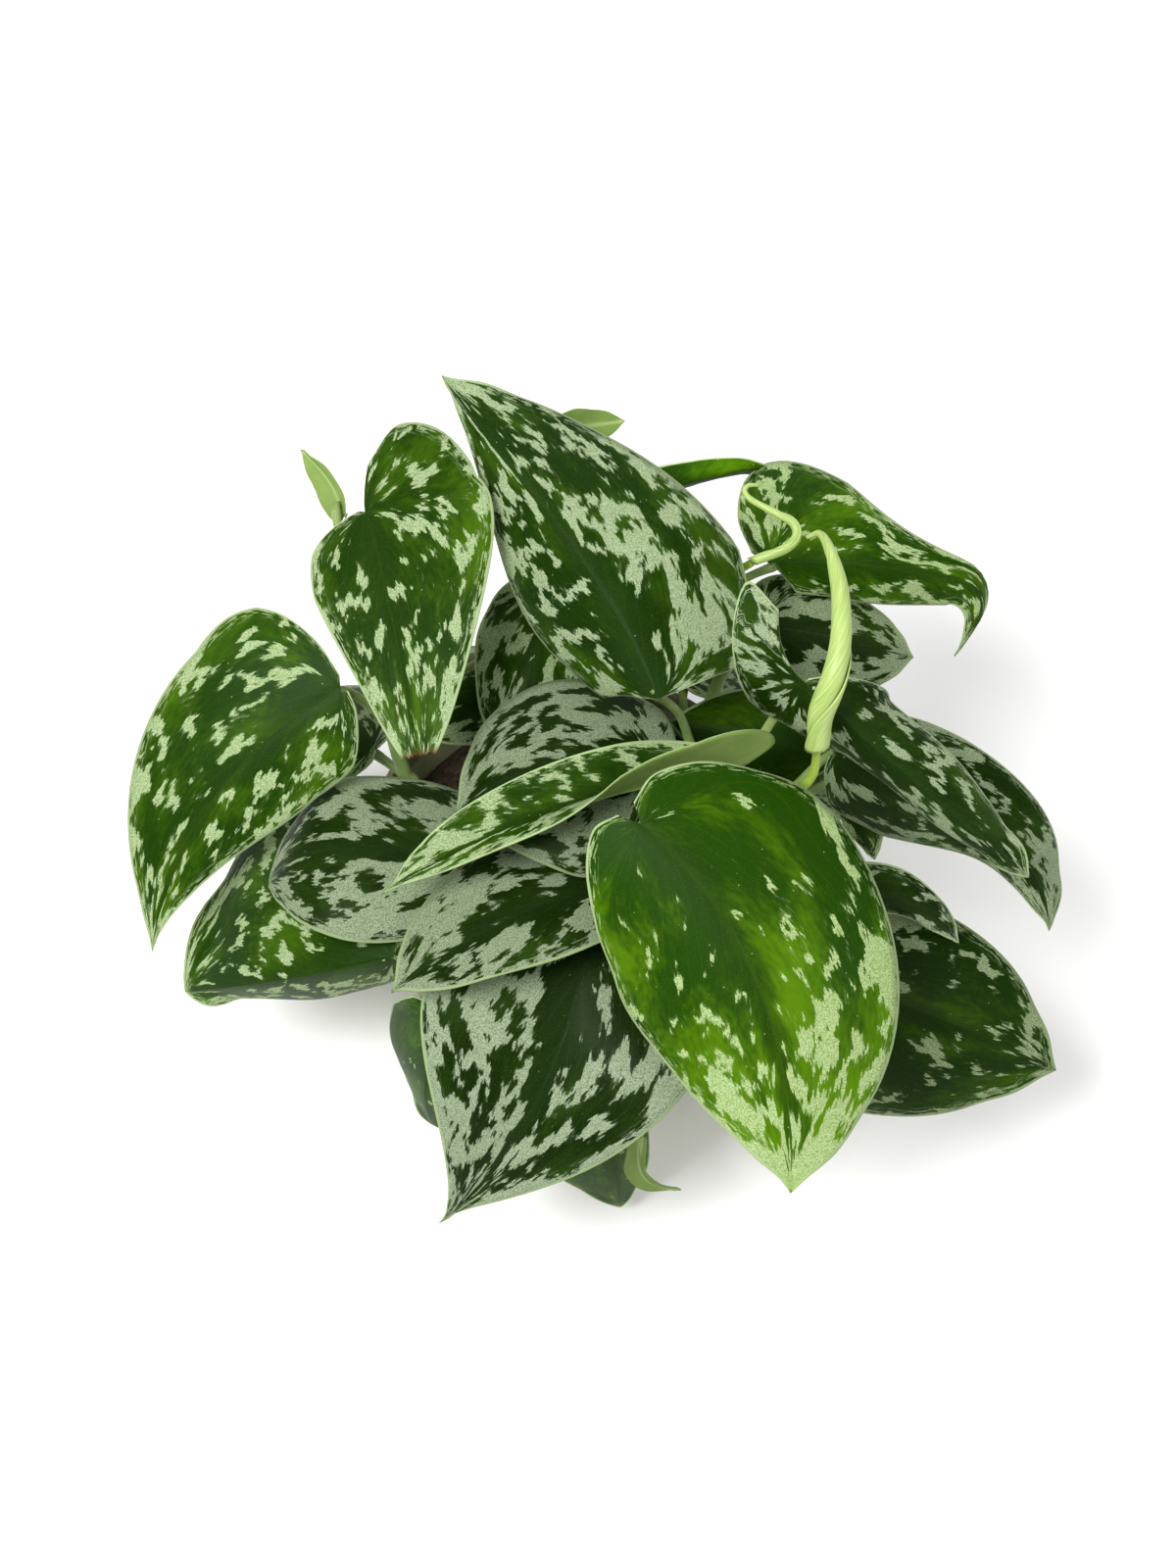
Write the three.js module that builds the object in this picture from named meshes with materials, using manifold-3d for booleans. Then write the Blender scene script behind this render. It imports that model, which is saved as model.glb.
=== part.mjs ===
// Satin pothos in its grow pot, in millimetres, +Z up. The origin is the centre of the pot's base.
// Thirty-one blades, eight vines with their leaf stalks, two leaves that are still rolled, the
// potting mix and the pot are solids of their own.
import * as THREE from "three";
import { mergeVertices } from "three/addons/utils/BufferGeometryUtils.js";
import Module from "manifold-3d";

const wasm = await Module();
wasm.setup();

// Pot: a thin round grow pot with a rim band, a flat base and drainage holes.
const POT_HEIGHT = 95;
const RIM_RADIUS = 60;
const RIM_BAND = 11;
const WALL = 1.8;
const SHOULDER_RADIUS = 57.5;
const BASE_RADIUS = 42;
const BASE_CHAMFER = 1;
const FLOOR = 2.5;
const BAND_SLOPE = 1.5; // half the height over which the wall steps out to the rim band
const RIM_CHAMFER = 0.6;
const POT_SIDES = 40;
const DRAIN_RADIUS = 3;
const DRAIN_RING = 24;
const DRAIN_COUNT = 6;
const DRAIN_SIDES = 12;

// Potting mix: it fills the pot to a little under the rim.
const MIX_TOP = 82;
const MIX_GAP = 0.4;
const MIX_RIM_DROP = 2;
const MIX_SHOULDER = 3;
const ROOT_HOLE_RADIUS = 3.4;
const ROOT_HOLE_FLOOR = 75;

// Blades, stems and stalks.
const BLADE_THICKNESS = 0.7;
const WIDEST = 0.26; // where along the midrib the right and left points of a blade are given
const SWEEP = 0.04; // how far forward a base edge sweeps, where its blade doesn't say
const MOST_FLARE = 1.3; // where flare stops growing, in lengths of WIDEST behind it
const HALF_COLUMNS = 3;
const HANDLES = [0.33, 0.67]; // where along the midrib its curve's two handles stand
const DROOP = 20; // degrees that a half curls down, where its blade doesn't say
const FLAT = 1e-3; // a droop under this many radians is taken as none
const VEIN_BOW = 1.25; // how late a vein turns forward on its way out
const LEVEL_FROM = 0.15; // how far before the tip the fold starts to level out
const LEAST_HALF = 0.8; // least half width, up to TIP_SPAN before the tip
const TIP_SPAN = 0.04;
const STEM_RADII = [2.6, 1.6];
const STALK_RADII = [1.5, 1.1];
const STEM_SIDES = 7;
const STALK_SIDES = 5;
const STALK_INSET = 2; // how far under the blade a stalk ends
const STALK_DROP = 2.1; // how far below the blade's midrib a stalk ends
const STALK_LEAN = 0.55; // 0 ends along the midrib, 1 ends square to the blade
const IN_LINE_GAP = 1.6; // a stalk in line with its midrib ends this far before the blade
const STALK_REACH = 0.35; // length of a stalk's curve handles, as a share of its span
const STALK_OUT = 0.6; // a stalk starts this much outwards
const STALK_UP = 0.4; // and this much up
const STALK_STEPS = 5;
const VIA_STEPS = 3;
const STEM_STEPS = 2;
const STEEP = 0.9; // a tube that starts steeper than this takes its first side from x, not z
const ROUGHNESS = 0.5;

const LEAF_GREEN = "#3f6a2a";
const STALK_GREEN = "#84a161";
const YOUNG_GREEN = "#c3d489";
const POT_KHAKI = "#a9a886";
const MIX_BROWN = "#3a2e22";

// Half a heart-shaped outline with a drawn-out tip, for a blade of length 1 and half width 1.
// vein: label from base (0) to tip (1); along, across: the edge point where that vein ends;
// rise: where that vein leaves the midrib.
const OUTLINE = [
  { vein: 0.0, along: -0.06, across: 0.08, rise: 0.0 },
  { vein: 0.09, along: -0.1, across: 0.34, rise: 0.02 },
  { vein: 0.2, along: -0.065, across: 0.68, rise: 0.045 },
  { vein: 0.32, along: 0.04, across: 0.92, rise: 0.085 },
  { vein: 0.44, along: 0.19, across: 1.0, rise: 0.15 },
  { vein: 0.56, along: 0.38, across: 0.98, rise: 0.24 },
  { vein: 0.68, along: 0.58, across: 0.85, rise: 0.38 },
  { vein: 0.8, along: 0.77, across: 0.61, rise: 0.57 },
  { vein: 0.9, along: 0.9, across: 0.3, rise: 0.76 },
  { vein: 0.96, along: 0.96, across: 0.1, rise: 0.89 },
  { vein: 1.0, along: 1.0, across: 0.0, rise: 1.0 },
];

// The blades. base, tip: the two ends of the midrib. right, left: the edges at WIDEST.
// arch, bend: how far the midrib bows up and sideways near its base and its tip, per length.
// droop: degrees that each half curls down. lobe: length of the base lobes. sweep: how far the base
// edge sweeps forward. flare: extra width of the lobe. full: extra width half way to the tip.
// taper: how much narrower the tip is. hood: degrees that a half folds down towards its lobe.
// lean: how far the lobe leans over the midrib's line. turn: degrees per length that a half folds
// on its way to the tip. nod: a tip that hangs over. Pairs are right and left, but cut is the veins
// where a torn tip ends, at its midrib and its edges. halfColumns: facets across a half.
const BLADES = {
  leaf_01: { base: [17, -26, 156], tip: [56, -107, 104], right: [8, -53, 128], left: [80, -32, 139],
    arch: [0.08, 0.08], bend: [-0.16, -0.14], droop: [35, 35], lobe: [1, 0.9], sweep: [0.08, 0.1],
    flare: [-0.15, -0.15], full: [0.2, 0.05], taper: [0.15, 0.05] },
  leaf_02: { base: [22, 13, 154], tip: [-38, 113, 166], right: [47, 59, 154], left: [-8, 39, 140],
    arch: [0.08, 0.06], bend: [0.08, 0], droop: [25, 25], lobe: [0, 0], sweep: [0.03, 0.1],
    flare: [-0.25, -0.25], full: [0, 0.45], taper: [0.35, 0.95], hood: [10, 25] },
  leaf_03: { base: [-59, 76, 152], tip: [-41, -4, 132], right: [-74, 59, 145], left: [-22, 58, 160],
    arch: [0.05, 0.05], bend: [-0.04, -0.03], droop: [15, 15], lobe: [0.3, 2.7], sweep: [0.1, 0.05],
    flare: [-0.1, 0], taper: [0.6, 0.7], lean: [0, -0.4], cut: [0.953, 0.882] },
  leaf_04: { base: [-65, 28, 136], tip: [-121, -23, 76], right: [-115, 38, 127], left: [-70, 7, 116],
    arch: [0.08, 0.06], bend: [0.14, 0.14], lobe: [0.4, 0.4], sweep: [0.1, 0.1], flare: [0.05, -0.05],
    full: [0.15, 0.2], taper: [0.65, 0.75] },
  leaf_05: { base: [-24, -12, 113], tip: [-87, -10, 91], right: [-44, 14, 109], left: [-42, -36, 109],
    arch: [0.1, 0.5], full: [0, 0.1], taper: [-0.8, -0.3] },
  leaf_06: { base: [22, 5, 129], tip: [-33, -4, 122], right: [3, 36, 126], left: [9, -23, 123],
    arch: [0.15, 0.2], bend: [0.1, 0.05], droop: [30, 30], full: [0.1, 0.1], taper: [-0.2, 0] },
  leaf_07: { base: [34, 0, 137], tip: [-51, -33, 131], right: [16, 7.5, 143], left: [21, -8, 153.5],
    arch: [0.05, 0.05], bend: [0.05, 0.05], droop: [10, 0], lobe: [1, 2.3], flare: [0, 0.25],
    full: [0, -0.1], taper: [-0.2, 0.8], hood: [25, -12], turn: [0, -120] },
  leaf_08: { base: [10, -25, 120], tip: [-49, -55, 116], right: [-14, -6, 115], left: [-1, -48, 125],
    arch: [0.1, 0.1], bend: [0.05, 0] },
  leaf_09: { base: [2, 57, 106], tip: [3, 118, 52], right: [28, 86, 84], left: [-22, 86, 84],
    arch: [0.2, 0.15], droop: [25, 25], lobe: [0.3, 0.3], flare: [-0.5, -0.5], halfColumns: 2 },
  leaf_10: { base: [-50, -39, 105], tip: [-114, -26, 56], right: [-76, 6, 99], left: [-60, -35, 75],
    arch: [0.15, 0.1], lobe: [0.6, 0.3], flare: [0, -0.4], full: [0.2, 0], taper: [-0.8, 0] },
  leaf_11: { base: [5, -32, 111], tip: [-39, -92, 42], right: [-41, -50, 109], left: [34, -69, 104],
    arch: [0.28, 0.15], bend: [-0.1, -0.1], droop: [25, 25], lobe: [0.2, 0.2], full: [0.2, 0.05],
    taper: [0.85, 0.99], hood: [30, 20] },
  leaf_12: { base: [-37, -54, 98], tip: [-41, -58, 31], right: [-53, -42, 71], left: [-26, -57, 90],
    arch: [0.15, 0.12], lobe: [0.2, 0.2], flare: [-0.4, -0.4], halfColumns: 2 },
  leaf_13: { base: [7, -66, 84], tip: [13, -74, 8], right: [-9, -67, 63], left: [20, -66, 61],
    arch: [0.1, 0.1], lobe: [0.2, 0.2], flare: [-0.4, -0.4], full: [0.6, 0.1], halfColumns: 2 },
  leaf_14: { base: [18, -74, 64], tip: [30, -80, 37.5], right: [19.5, -77, 55],
    left: [14, -78, 55], arch: [0.02, 0.02], bend: [-0.15, -0.4], lobe: [0, 0],
    full: [0, 0.3], taper: [0.6, 0], halfColumns: 2 },
  leaf_15: { base: [54, -39, 100], tip: [136, -54, 63], right: [66, -62, 64], left: [87, -18, 102],
    arch: [0.12, 0.12], bend: [-0.05, -0.05], droop: [25, 25], flare: [0, -0.15], full: [0.15, 0.1] },
  leaf_16: { base: [67, -27, 118], tip: [106, -31, 97], right: [78, -28, 112], left: [79, -17, 119],
    arch: [0.15, 0.15], bend: [-0.15, -0.15], droop: [10, 10], halfColumns: 2 },
  leaf_17: { base: [60, 9, 169], tip: [123, -22, 119], right: [68, 6, 145], left: [89, 10, 151],
    arch: [0.1, 0.15], bend: [0, -0.05], droop: [25, 25], lobe: [3.6, 0.3], sweep: [0.08, 0.2],
    flare: [0.5, -0.1], full: [-0.1, 0], hood: [-20, -30], lean: [2.8, 0] },
  leaf_18: { base: [71, 11, 129], tip: [134, -20, 83], right: [81, 4, 100], left: [107, 19, 124],
    arch: [0.12, 0.12], bend: [-0.12, -0.3], droop: [25, 25], lobe: [0.3, 0.5], sweep: [0.06, 0.06],
    flare: [-0.3, 0], full: [-0.2, 0.05], taper: [0.6, 0.1] },
  leaf_19: { base: [55, 69, 137], tip: [137, 69, 118], right: [73, 65, 125], left: [71, 95, 140],
    arch: [0.1, 0.1], bend: [-0.05, 0], lobe: [0, 1], sweep: [0.1, 0], flare: [-0.2, 0.25],
    full: [0.1, -0.45], taper: [0.4, 0.8], nod: { from: 0.64, angle: 100, span: 0.22, skew: -50 } },
  leaf_20: { base: [52, 57, 122], tip: [98, 58, 105], right: [67, 43, 102], left: [73, 74, 122],
    arch: [0.1, 0.1], bend: [-0.05, 0], halfColumns: 2 },
  leaf_21: { base: [-27, 51, 102], tip: [-50, 90, 28], right: [-14, 74, 80], left: [-54, 52, 80],
    arch: [0.25, 0.2], droop: [25, 25], lobe: [0.3, 0.3], flare: [-0.5, -0.5], halfColumns: 2 },
  leaf_22: { base: [31, 52, 103], tip: [54, 88, 26], right: [54, 54, 79], left: [20, 76, 81],
    arch: [0.25, 0.2], droop: [25, 25], lobe: [0.3, 0.3], flare: [-0.5, -0.5], halfColumns: 2 },
  leaf_23: { base: [-5, 108, 148], tip: [14, 114, 144], right: [3, 114, 150], left: [3, 105, 145],
    arch: [0.1, 0.1], halfColumns: 2 },
  leaf_24: { base: [14, 87, 145], tip: [56, 104, 136], right: [29, 97, 135], left: [23, 94, 149],
    arch: [0.05, 0.05], bend: [-0.05, -0.1], halfColumns: 2 },
  leaf_25: { base: [-66, 85, 139], tip: [-79, 103, 145], right: [-75, 93, 139], left: [-69, 94, 145],
    arch: [0.1, 0.1], bend: [-0.1, -0.05], droop: [-30, -30], halfColumns: 2 },
  leaf_26: { base: [-6, 66, 128], tip: [-20, 20, 111], right: [-30, 50, 119], left: [6, 41, 116],
    arch: [0.1, 0.1], halfColumns: 2 },
  leaf_27: { base: [-14, 45, 110], tip: [-46, 32, 105], right: [-28, 52, 114], left: [-26, 28, 104],
    arch: [0.1, 0.1], halfColumns: 2 },
  leaf_28: { base: [72, 21, 112], tip: [26, 31, 113], right: [56, 40, 118], left: [56, 16, 104],
    arch: [0.1, 0.1], lobe: [0.3, 0.3], flare: [-0.4, -0.4], halfColumns: 2 },
  leaf_29: { base: [74, 18, 101], tip: [86, 3, 83], right: [76, 11, 91], left: [89, 13, 92],
    arch: [0.1, 0.1], lobe: [0, 0], halfColumns: 2 },
  leaf_30: { base: [-58, 28, 104], tip: [-106, 60, 50], right: [-60, 60, 86], left: [-80, 18, 86],
    arch: [0.2, 0.15], droop: [25, 25], lobe: [0.3, 0.3], flare: [-0.5, -0.5], halfColumns: 2 },
  leaf_31: { base: [53, 25, 105], tip: [96, 50, 48], right: [74, 14, 86], left: [55, 54, 88],
    arch: [0.2, 0.15], droop: [25, 25], lobe: [0.3, 0.3], flare: [-0.5, -0.5], halfColumns: 2 },
};

// The vines. stem: points that it passes through, from its root hole up. Each stalk leaves the stem
// at from (0 root, 1 top) and may pass through points of its own on its way to the blade.
const VINES = {
  vine_1: {
    stem: [[23, -16, 78], [23, -16, 87], [23, -20, 100], [21, -20, 120], [20, -19, 134]],
    stalks: [
      { leaf: "leaf_01", from: 0.97 },
      { leaf: "leaf_15", from: 0.35, via: [[46, -33, 98.8]], drop: 2.8 },
      { leaf: "leaf_16", from: 0.6, drop: 2.4 },
      { leaf: "leaf_08", from: 0.5 },
    ],
  },
  vine_2: {
    stem: [[-32, -12, 78], [-32, -12, 87], [-32, -18, 93], [-31, -24, 98]],
    stalks: [
      { leaf: "leaf_10", from: 0.8, drop: 3 },
      { leaf: "leaf_12", from: 0.95, via: [[-33, -42, 102]] },
      { leaf: "leaf_05", from: 0.6 },
    ],
  },
  vine_3: {
    stem: [[0, -42, 78], [0, -42, 87], [3, -42, 93], [6, -39, 99]],
    stalks: [
      { leaf: "leaf_13", from: 0.6, via: [[4, -52, 99], [6, -60, 98]], drop: 2.6 },
      { leaf: "leaf_14", from: 0.8, via: [[12, -54, 99], [16, -62, 96], [18, -69, 82]], inLine: true },
      { leaf: "leaf_11", from: 0.95 },
    ],
  },
  vine_4: {
    stem: [[36, 6, 78], [36, 6, 87], [36, 9, 97], [36, 12, 107]],
    stalks: [
      { leaf: "leaf_06", from: 0.5 },
      { leaf: "leaf_07", from: 0.75 },
      { leaf: "leaf_02", from: 0.97, via: [[32, 18, 121], [28, 20, 136]], drop: 2.9 },
      { leaf: "leaf_17", from: 0.9, via: [[47, 13, 124], [54, 15, 143], [57, 15, 156]] },
    ],
  },
  vine_5: {
    stem: [[44, 8, 78], [44, 8, 87], [49, 8, 97], [56, 8, 108]],
    stalks: [
      { leaf: "leaf_29", from: 0.75, via: [[60, 11, 100]], inLine: true },
      { leaf: "leaf_28", from: 0.7, via: [[61, 13, 99.5], [70, 21, 103]], drop: 3 },
      { leaf: "leaf_18", from: 0.97 },
    ],
    shoot: [[55, 8, 107], [60, -5, 138], [63, -6, 148], [63, -6, 162]],
  },
  vine_6: {
    stem: [[-42, 18, 78], [-42, 18, 87], [-49, 22, 100], [-53, 32, 116], [-53, 44, 130]],
    stalks: [
      { leaf: "leaf_30", from: 0.45 },
      { leaf: "leaf_04", from: 0.75 },
      { leaf: "leaf_03", from: 0.95 },
      { leaf: "leaf_25", from: 0.98, drop: 3, lean: 0.2 },
    ],
  },
  vine_7: {
    stem: [[-2, 38, 78], [-2, 38, 87], [-4, 46, 97], [-8, 54, 108], [-6, 63, 119]],
    stalks: [
      { leaf: "leaf_27", from: 0.5 },
      { leaf: "leaf_21", from: 0.4, via: [[-20, 45, 98.5]] },
      { leaf: "leaf_09", from: 0.5 },
      { leaf: "leaf_26", from: 0.85 },
      { leaf: "leaf_23", from: 0.98 },
      { leaf: "leaf_24", from: 0.9 },
    ],
  },
  vine_8: {
    stem: [[32, 34, 78], [32, 34, 87], [36, 40, 97], [41, 48, 108], [44, 57, 119]],
    stalks: [
      { leaf: "leaf_31", from: 0.45 },
      { leaf: "leaf_22", from: 0.35, via: [[31, 45, 99.5]], drop: 3 },
      { leaf: "leaf_20", from: 0.8 },
      { leaf: "leaf_19", from: 0.95, via: [[44, 66, 128]], drop: 2.5 },
    ],
    shoot: [[42, 50, 110], [36, 60, 124], [43, 62, 140], [49, 63, 146]],
  },
};

// The two leaves that are still rolled: the line each follows, and its radius near the base.
const ROLLED_LEAVES = {
  new_leaf_1: {
    radius: 4.2,
    line: [[63, -6, 164], [63, -3, 173], [66, 2, 183], [68, 11, 188], [68, 25, 190], [66, 38, 188],
      [64, 45, 185], [61, 46, 182]],
  },
  new_leaf_2: {
    radius: 1.4,
    line: [[50, 63, 147], [58, 65, 150], [61, 67, 153], [60, 70, 155], [55, 73, 156], [49, 77, 156],
      [47, 80, 156], [48, 82, 156], [51, 83, 155]],
  },
};
const ROLL_SIDES = 8;
const ROLL_TIP = 0.45; // radius of a rolled leaf's tip
const ROLL_NECK = 0.75; // radius at its base, as a share of the full one
const ROLL_SHOULDER = 0.2; // where along it the full radius is reached
const ROLL_TAPER = 0.6; // power of the taper towards its tip
const ROLL_STEP = 0.3; // how far its free edge stands in, as a share of the radius

// ---- small helpers ----

const vec = (p) => new THREE.Vector3(...p);
const rad = THREE.MathUtils.degToRad;
const clamp = THREE.MathUtils.clamp;

// The part of v that is square to the unit vector n, at unit length.
function squareTo(v, n) {
  return v.clone().addScaledVector(n, -v.dot(n)).normalize();
}

// A closed geometry from corner points and triangles.
function closedGeometry(points, triangles) {
  const geometry = new THREE.BufferGeometry();
  geometry.setAttribute("position", new THREE.Float32BufferAttribute(points.flatMap((p) => p.toArray()), 3));
  geometry.setIndex(triangles.flat());
  geometry.computeVertexNormals();
  return geometry;
}

function solidOf(geometry) {
  const bare = geometry.clone();
  bare.deleteAttribute("normal");
  bare.deleteAttribute("uv");
  const merged = mergeVertices(bare);
  return new wasm.Manifold(
    new wasm.Mesh({
      numProp: 3,
      vertProperties: new Float32Array(merged.attributes.position.array),
      triVerts: new Uint32Array(merged.index.array),
    }),
  );
}

function geometryOf(solid) {
  const mesh = solid.getMesh();
  const geometry = new THREE.BufferGeometry();
  geometry.setAttribute("position", new THREE.BufferAttribute(new Float32Array(mesh.vertProperties), 3));
  geometry.setIndex(new THREE.BufferAttribute(new Uint32Array(mesh.triVerts), 1));
  geometry.computeVertexNormals();
  return geometry;
}

// ---- blades ----

// Smooth value of one column of OUTLINE at a vein label.
function outlineAt(vein, column) {
  const last = OUTLINE.length - 1;
  let i = 0;
  while (i < last - 1 && OUTLINE[i + 1].vein <= vein) i++;
  const slope = (j) => {
    const a = OUTLINE[Math.max(j - 1, 0)];
    const b = OUTLINE[Math.min(j + 1, last)];
    return (b[column] - a[column]) / (b.vein - a.vein);
  };
  const step = OUTLINE[i + 1].vein - OUTLINE[i].vein;
  const t = (vein - OUTLINE[i].vein) / step;
  const t2 = t * t;
  const t3 = t2 * t;
  return (
    (2 * t3 - 3 * t2 + 1) * OUTLINE[i][column] +
    (t3 - 2 * t2 + t) * slope(i) * step +
    (3 * t2 - 2 * t3) * OUTLINE[i + 1][column] +
    (t3 - t2) * slope(i + 1) * step
  );
}

// The midrib of a blade: its point and its frame (along, side, up) at any share x of its length.
function midribOf(blade) {
  const base = vec(blade.base);
  const tip = vec(blade.tip);
  const length = base.distanceTo(tip);
  const chord = tip.clone().sub(base).normalize();
  const side = squareTo(vec(blade.right).sub(vec(blade.left)), chord);
  const up = side.clone().cross(chord);
  const [bendBase, bendTip] = blade.bend ?? [0, 0];
  const handle = (share, arch, bend) =>
    base.clone().addScaledVector(chord, share * length)
      .addScaledVector(up, arch * length)
      .addScaledVector(side, bend * length);
  const curve = new THREE.CubicBezierCurve3(
    base,
    handle(HANDLES[0], blade.arch[0], bendBase),
    handle(HANDLES[1], blade.arch[1], bendTip),
    tip,
  );
  const speed = (x) => {
    const a = 3 * (1 - x) * (1 - x);
    const b = 6 * (1 - x) * x;
    const c = 3 * x * x;
    return curve.v1.clone().sub(curve.v0).multiplyScalar(a)
      .addScaledVector(curve.v2.clone().sub(curve.v1), b)
      .addScaledVector(curve.v3.clone().sub(curve.v2), c);
  };
  const plainFrame = (x) => {
    const along = speed(clamp(x, 0, 1)).normalize();
    const across = squareTo(side, along);
    return { along, across, up: across.clone().cross(along) };
  };
  const plainPoint = (x) => (x < 0 ? base.clone().addScaledVector(speed(0), x) : curve.getPoint(x));
  if (!blade.nod) return { point: plainPoint, frame: plainFrame };

  // A nodding tip leaves the curve at nod.from and turns down along an arc.
  const { from, angle, span, skew } = blade.nod;
  const hinge = plainPoint(from);
  const start = plainFrame(from);
  const pace = speed(from).length();
  const down = start.up.clone().multiplyScalar(-Math.cos(rad(skew)))
    .addScaledVector(start.across, -Math.sin(rad(skew)));
  const axle = start.along.clone().cross(down);
  const turned = (x) => (rad(angle) * Math.min(x - from, span)) / span;
  const radius = (span * pace) / rad(angle);
  const nodPoint = (x) => {
    const a = turned(x);
    const rest = Math.max(0, x - from - span) * pace;
    return hinge.clone()
      .addScaledVector(start.along, radius * Math.sin(a) + rest * Math.cos(a))
      .addScaledVector(down, radius * (1 - Math.cos(a)) + rest * Math.sin(a));
  };
  const nodFrame = (x) => {
    const a = turned(x);
    const along = start.along.clone().applyAxisAngle(axle, a);
    const across = start.across.clone().applyAxisAngle(axle, a);
    return { along, across, up: across.clone().cross(along) };
  };
  return {
    point: (x) => (x > from ? nodPoint(x) : plainPoint(x)),
    frame: (x) => (x > from ? nodFrame(x) : plainFrame(x)),
  };
}

// What one half of a blade needs: its half width, its angle at WIDEST and its own settings.
function halfOf(blade, midrib, index) {
  const edge = vec(index === 0 ? blade.right : blade.left);
  const frame = midrib.frame(WIDEST);
  const reach = edge.sub(midrib.point(WIDEST));
  reach.addScaledVector(frame.along, -reach.dot(frame.along));
  const sign = index === 0 ? 1 : -1;
  return {
    sign,
    width: reach.length(),
    angle: Math.atan2(reach.dot(frame.up), sign * reach.dot(frame.across)),
    droop: rad((blade.droop ?? [DROOP, DROOP])[index]),
    lobe: (blade.lobe ?? [1, 1])[index],
    hood: rad((blade.hood ?? [0, 0])[index]),
    flare: (blade.flare ?? [0, 0])[index],
    turn: rad((blade.turn ?? [0, 0])[index]),
    sweep: (blade.sweep ?? [SWEEP, SWEEP])[index],
    full: (blade.full ?? [0, 0])[index],
    taper: (blade.taper ?? [0, 0])[index],
    lean: (blade.lean ?? [0, 0])[index],
  };
}

// The point of a blade at a vein label and a share f (0 midrib, 1 edge) of the way out along it.
function bladePoint(midrib, half, vein, f) {
  const rise = outlineAt(vein, "rise");
  const across = outlineAt(vein, "across");
  let along = outlineAt(vein, "along");
  if (along < 0) along *= half.lobe;
  along += half.sweep * across * clamp((WIDEST - along) / WIDEST, 0, 1);
  const x = rise + (along - rise) * (along > rise ? f ** VEIN_BOW : f);
  const behind = clamp((WIDEST - along) / WIDEST, 0, MOST_FLARE);
  const ahead = clamp((along - WIDEST) / (1 - WIDEST), 0, 1);
  const narrowing = (1 - half.taper * Math.max(0, along)) / (1 - half.taper * WIDEST);
  const filling = (1 + half.flare * behind) * (1 + 4 * half.full * ahead * (1 - ahead));
  const least = (LEAST_HALF / half.width) * clamp((1 - vein) / TIP_SPAN, 0, 1);
  const edge = Math.max(across * narrowing * filling, least);
  const y = f * (edge - half.lean * Math.max(0, -x));
  const open = clamp((1 - x) / LEVEL_FROM, 0, 1);
  const hooded = half.hood * Math.max(0, (WIDEST - x) / WIDEST);
  const fold = open * (half.angle + half.turn * Math.max(0, x - WIDEST) - hooded);
  // The half curls down as an arc that is level with fold at its middle.
  let out = y * Math.cos(fold);
  let lift = y * Math.sin(fold);
  if (Math.abs(half.droop) > FLAT) {
    const first = fold + half.droop / 2;
    out = (Math.sin(first) - Math.sin(first - half.droop * y)) / half.droop;
    lift = (Math.cos(first - half.droop * y) - Math.cos(first)) / half.droop;
  }
  const frame = midrib.frame(x);
  return midrib.point(x)
    .addScaledVector(frame.across, half.sign * half.width * out)
    .addScaledVector(frame.up, half.width * lift);
}

// The middle surface of a blade, as rows of points from its left edge to its right edge.
function bladeGrid(blade) {
  const midrib = midribOf(blade);
  const halves = [halfOf(blade, midrib, 0), halfOf(blade, midrib, 1)];
  const columns = blade.halfColumns ?? HALF_COLUMNS;
  const [cutMiddle, cutEdge] = blade.cut ?? [1, 1];
  return OUTLINE.map(({ vein }) => {
    if (vein === 1 && !blade.cut) return [midrib.point(1)];
    const row = [];
    for (let j = -columns; j <= columns; j++) {
      const f = Math.abs(j) / columns;
      const end = cutMiddle + (cutEdge - cutMiddle) * f * f;
      row.push(bladePoint(midrib, halves[j < 0 ? 1 : 0], vein * end, f));
    }
    return row;
  });
}

// Triangles of the surface between the rows, mirrored about the midrib.
function gridTriangles(rows, first) {
  const triangles = [];
  for (let i = 0; i < rows.length - 1; i++) {
    const middle = (rows[i].length - 1) / 2;
    for (let j = 0; j < rows[i].length - 1; j++) {
      const a = first[i] + j;
      const b = first[i + 1] + j;
      if (rows[i + 1].length === 1) triangles.push([a, a + 1, first[i + 1]]);
      else if (j < middle) triangles.push([a, a + 1, b + 1], [a, b + 1, b]);
      else triangles.push([a, a + 1, b], [a + 1, b + 1, b]);
    }
  }
  return triangles;
}

// The corner indices round the surface's edge, in the turning sense of its top triangles.
function gridBorder(rows, first) {
  const last = rows.length - 1;
  const border = rows[0].map((_, j) => j);
  for (let i = 1; i <= last; i++) border.push(first[i] + rows[i].length - 1);
  for (let j = rows[last].length - 2; j >= 0; j--) border.push(first[last] + j);
  for (let i = last - 1; i > 0; i--) border.push(first[i]);
  return border;
}

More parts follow.
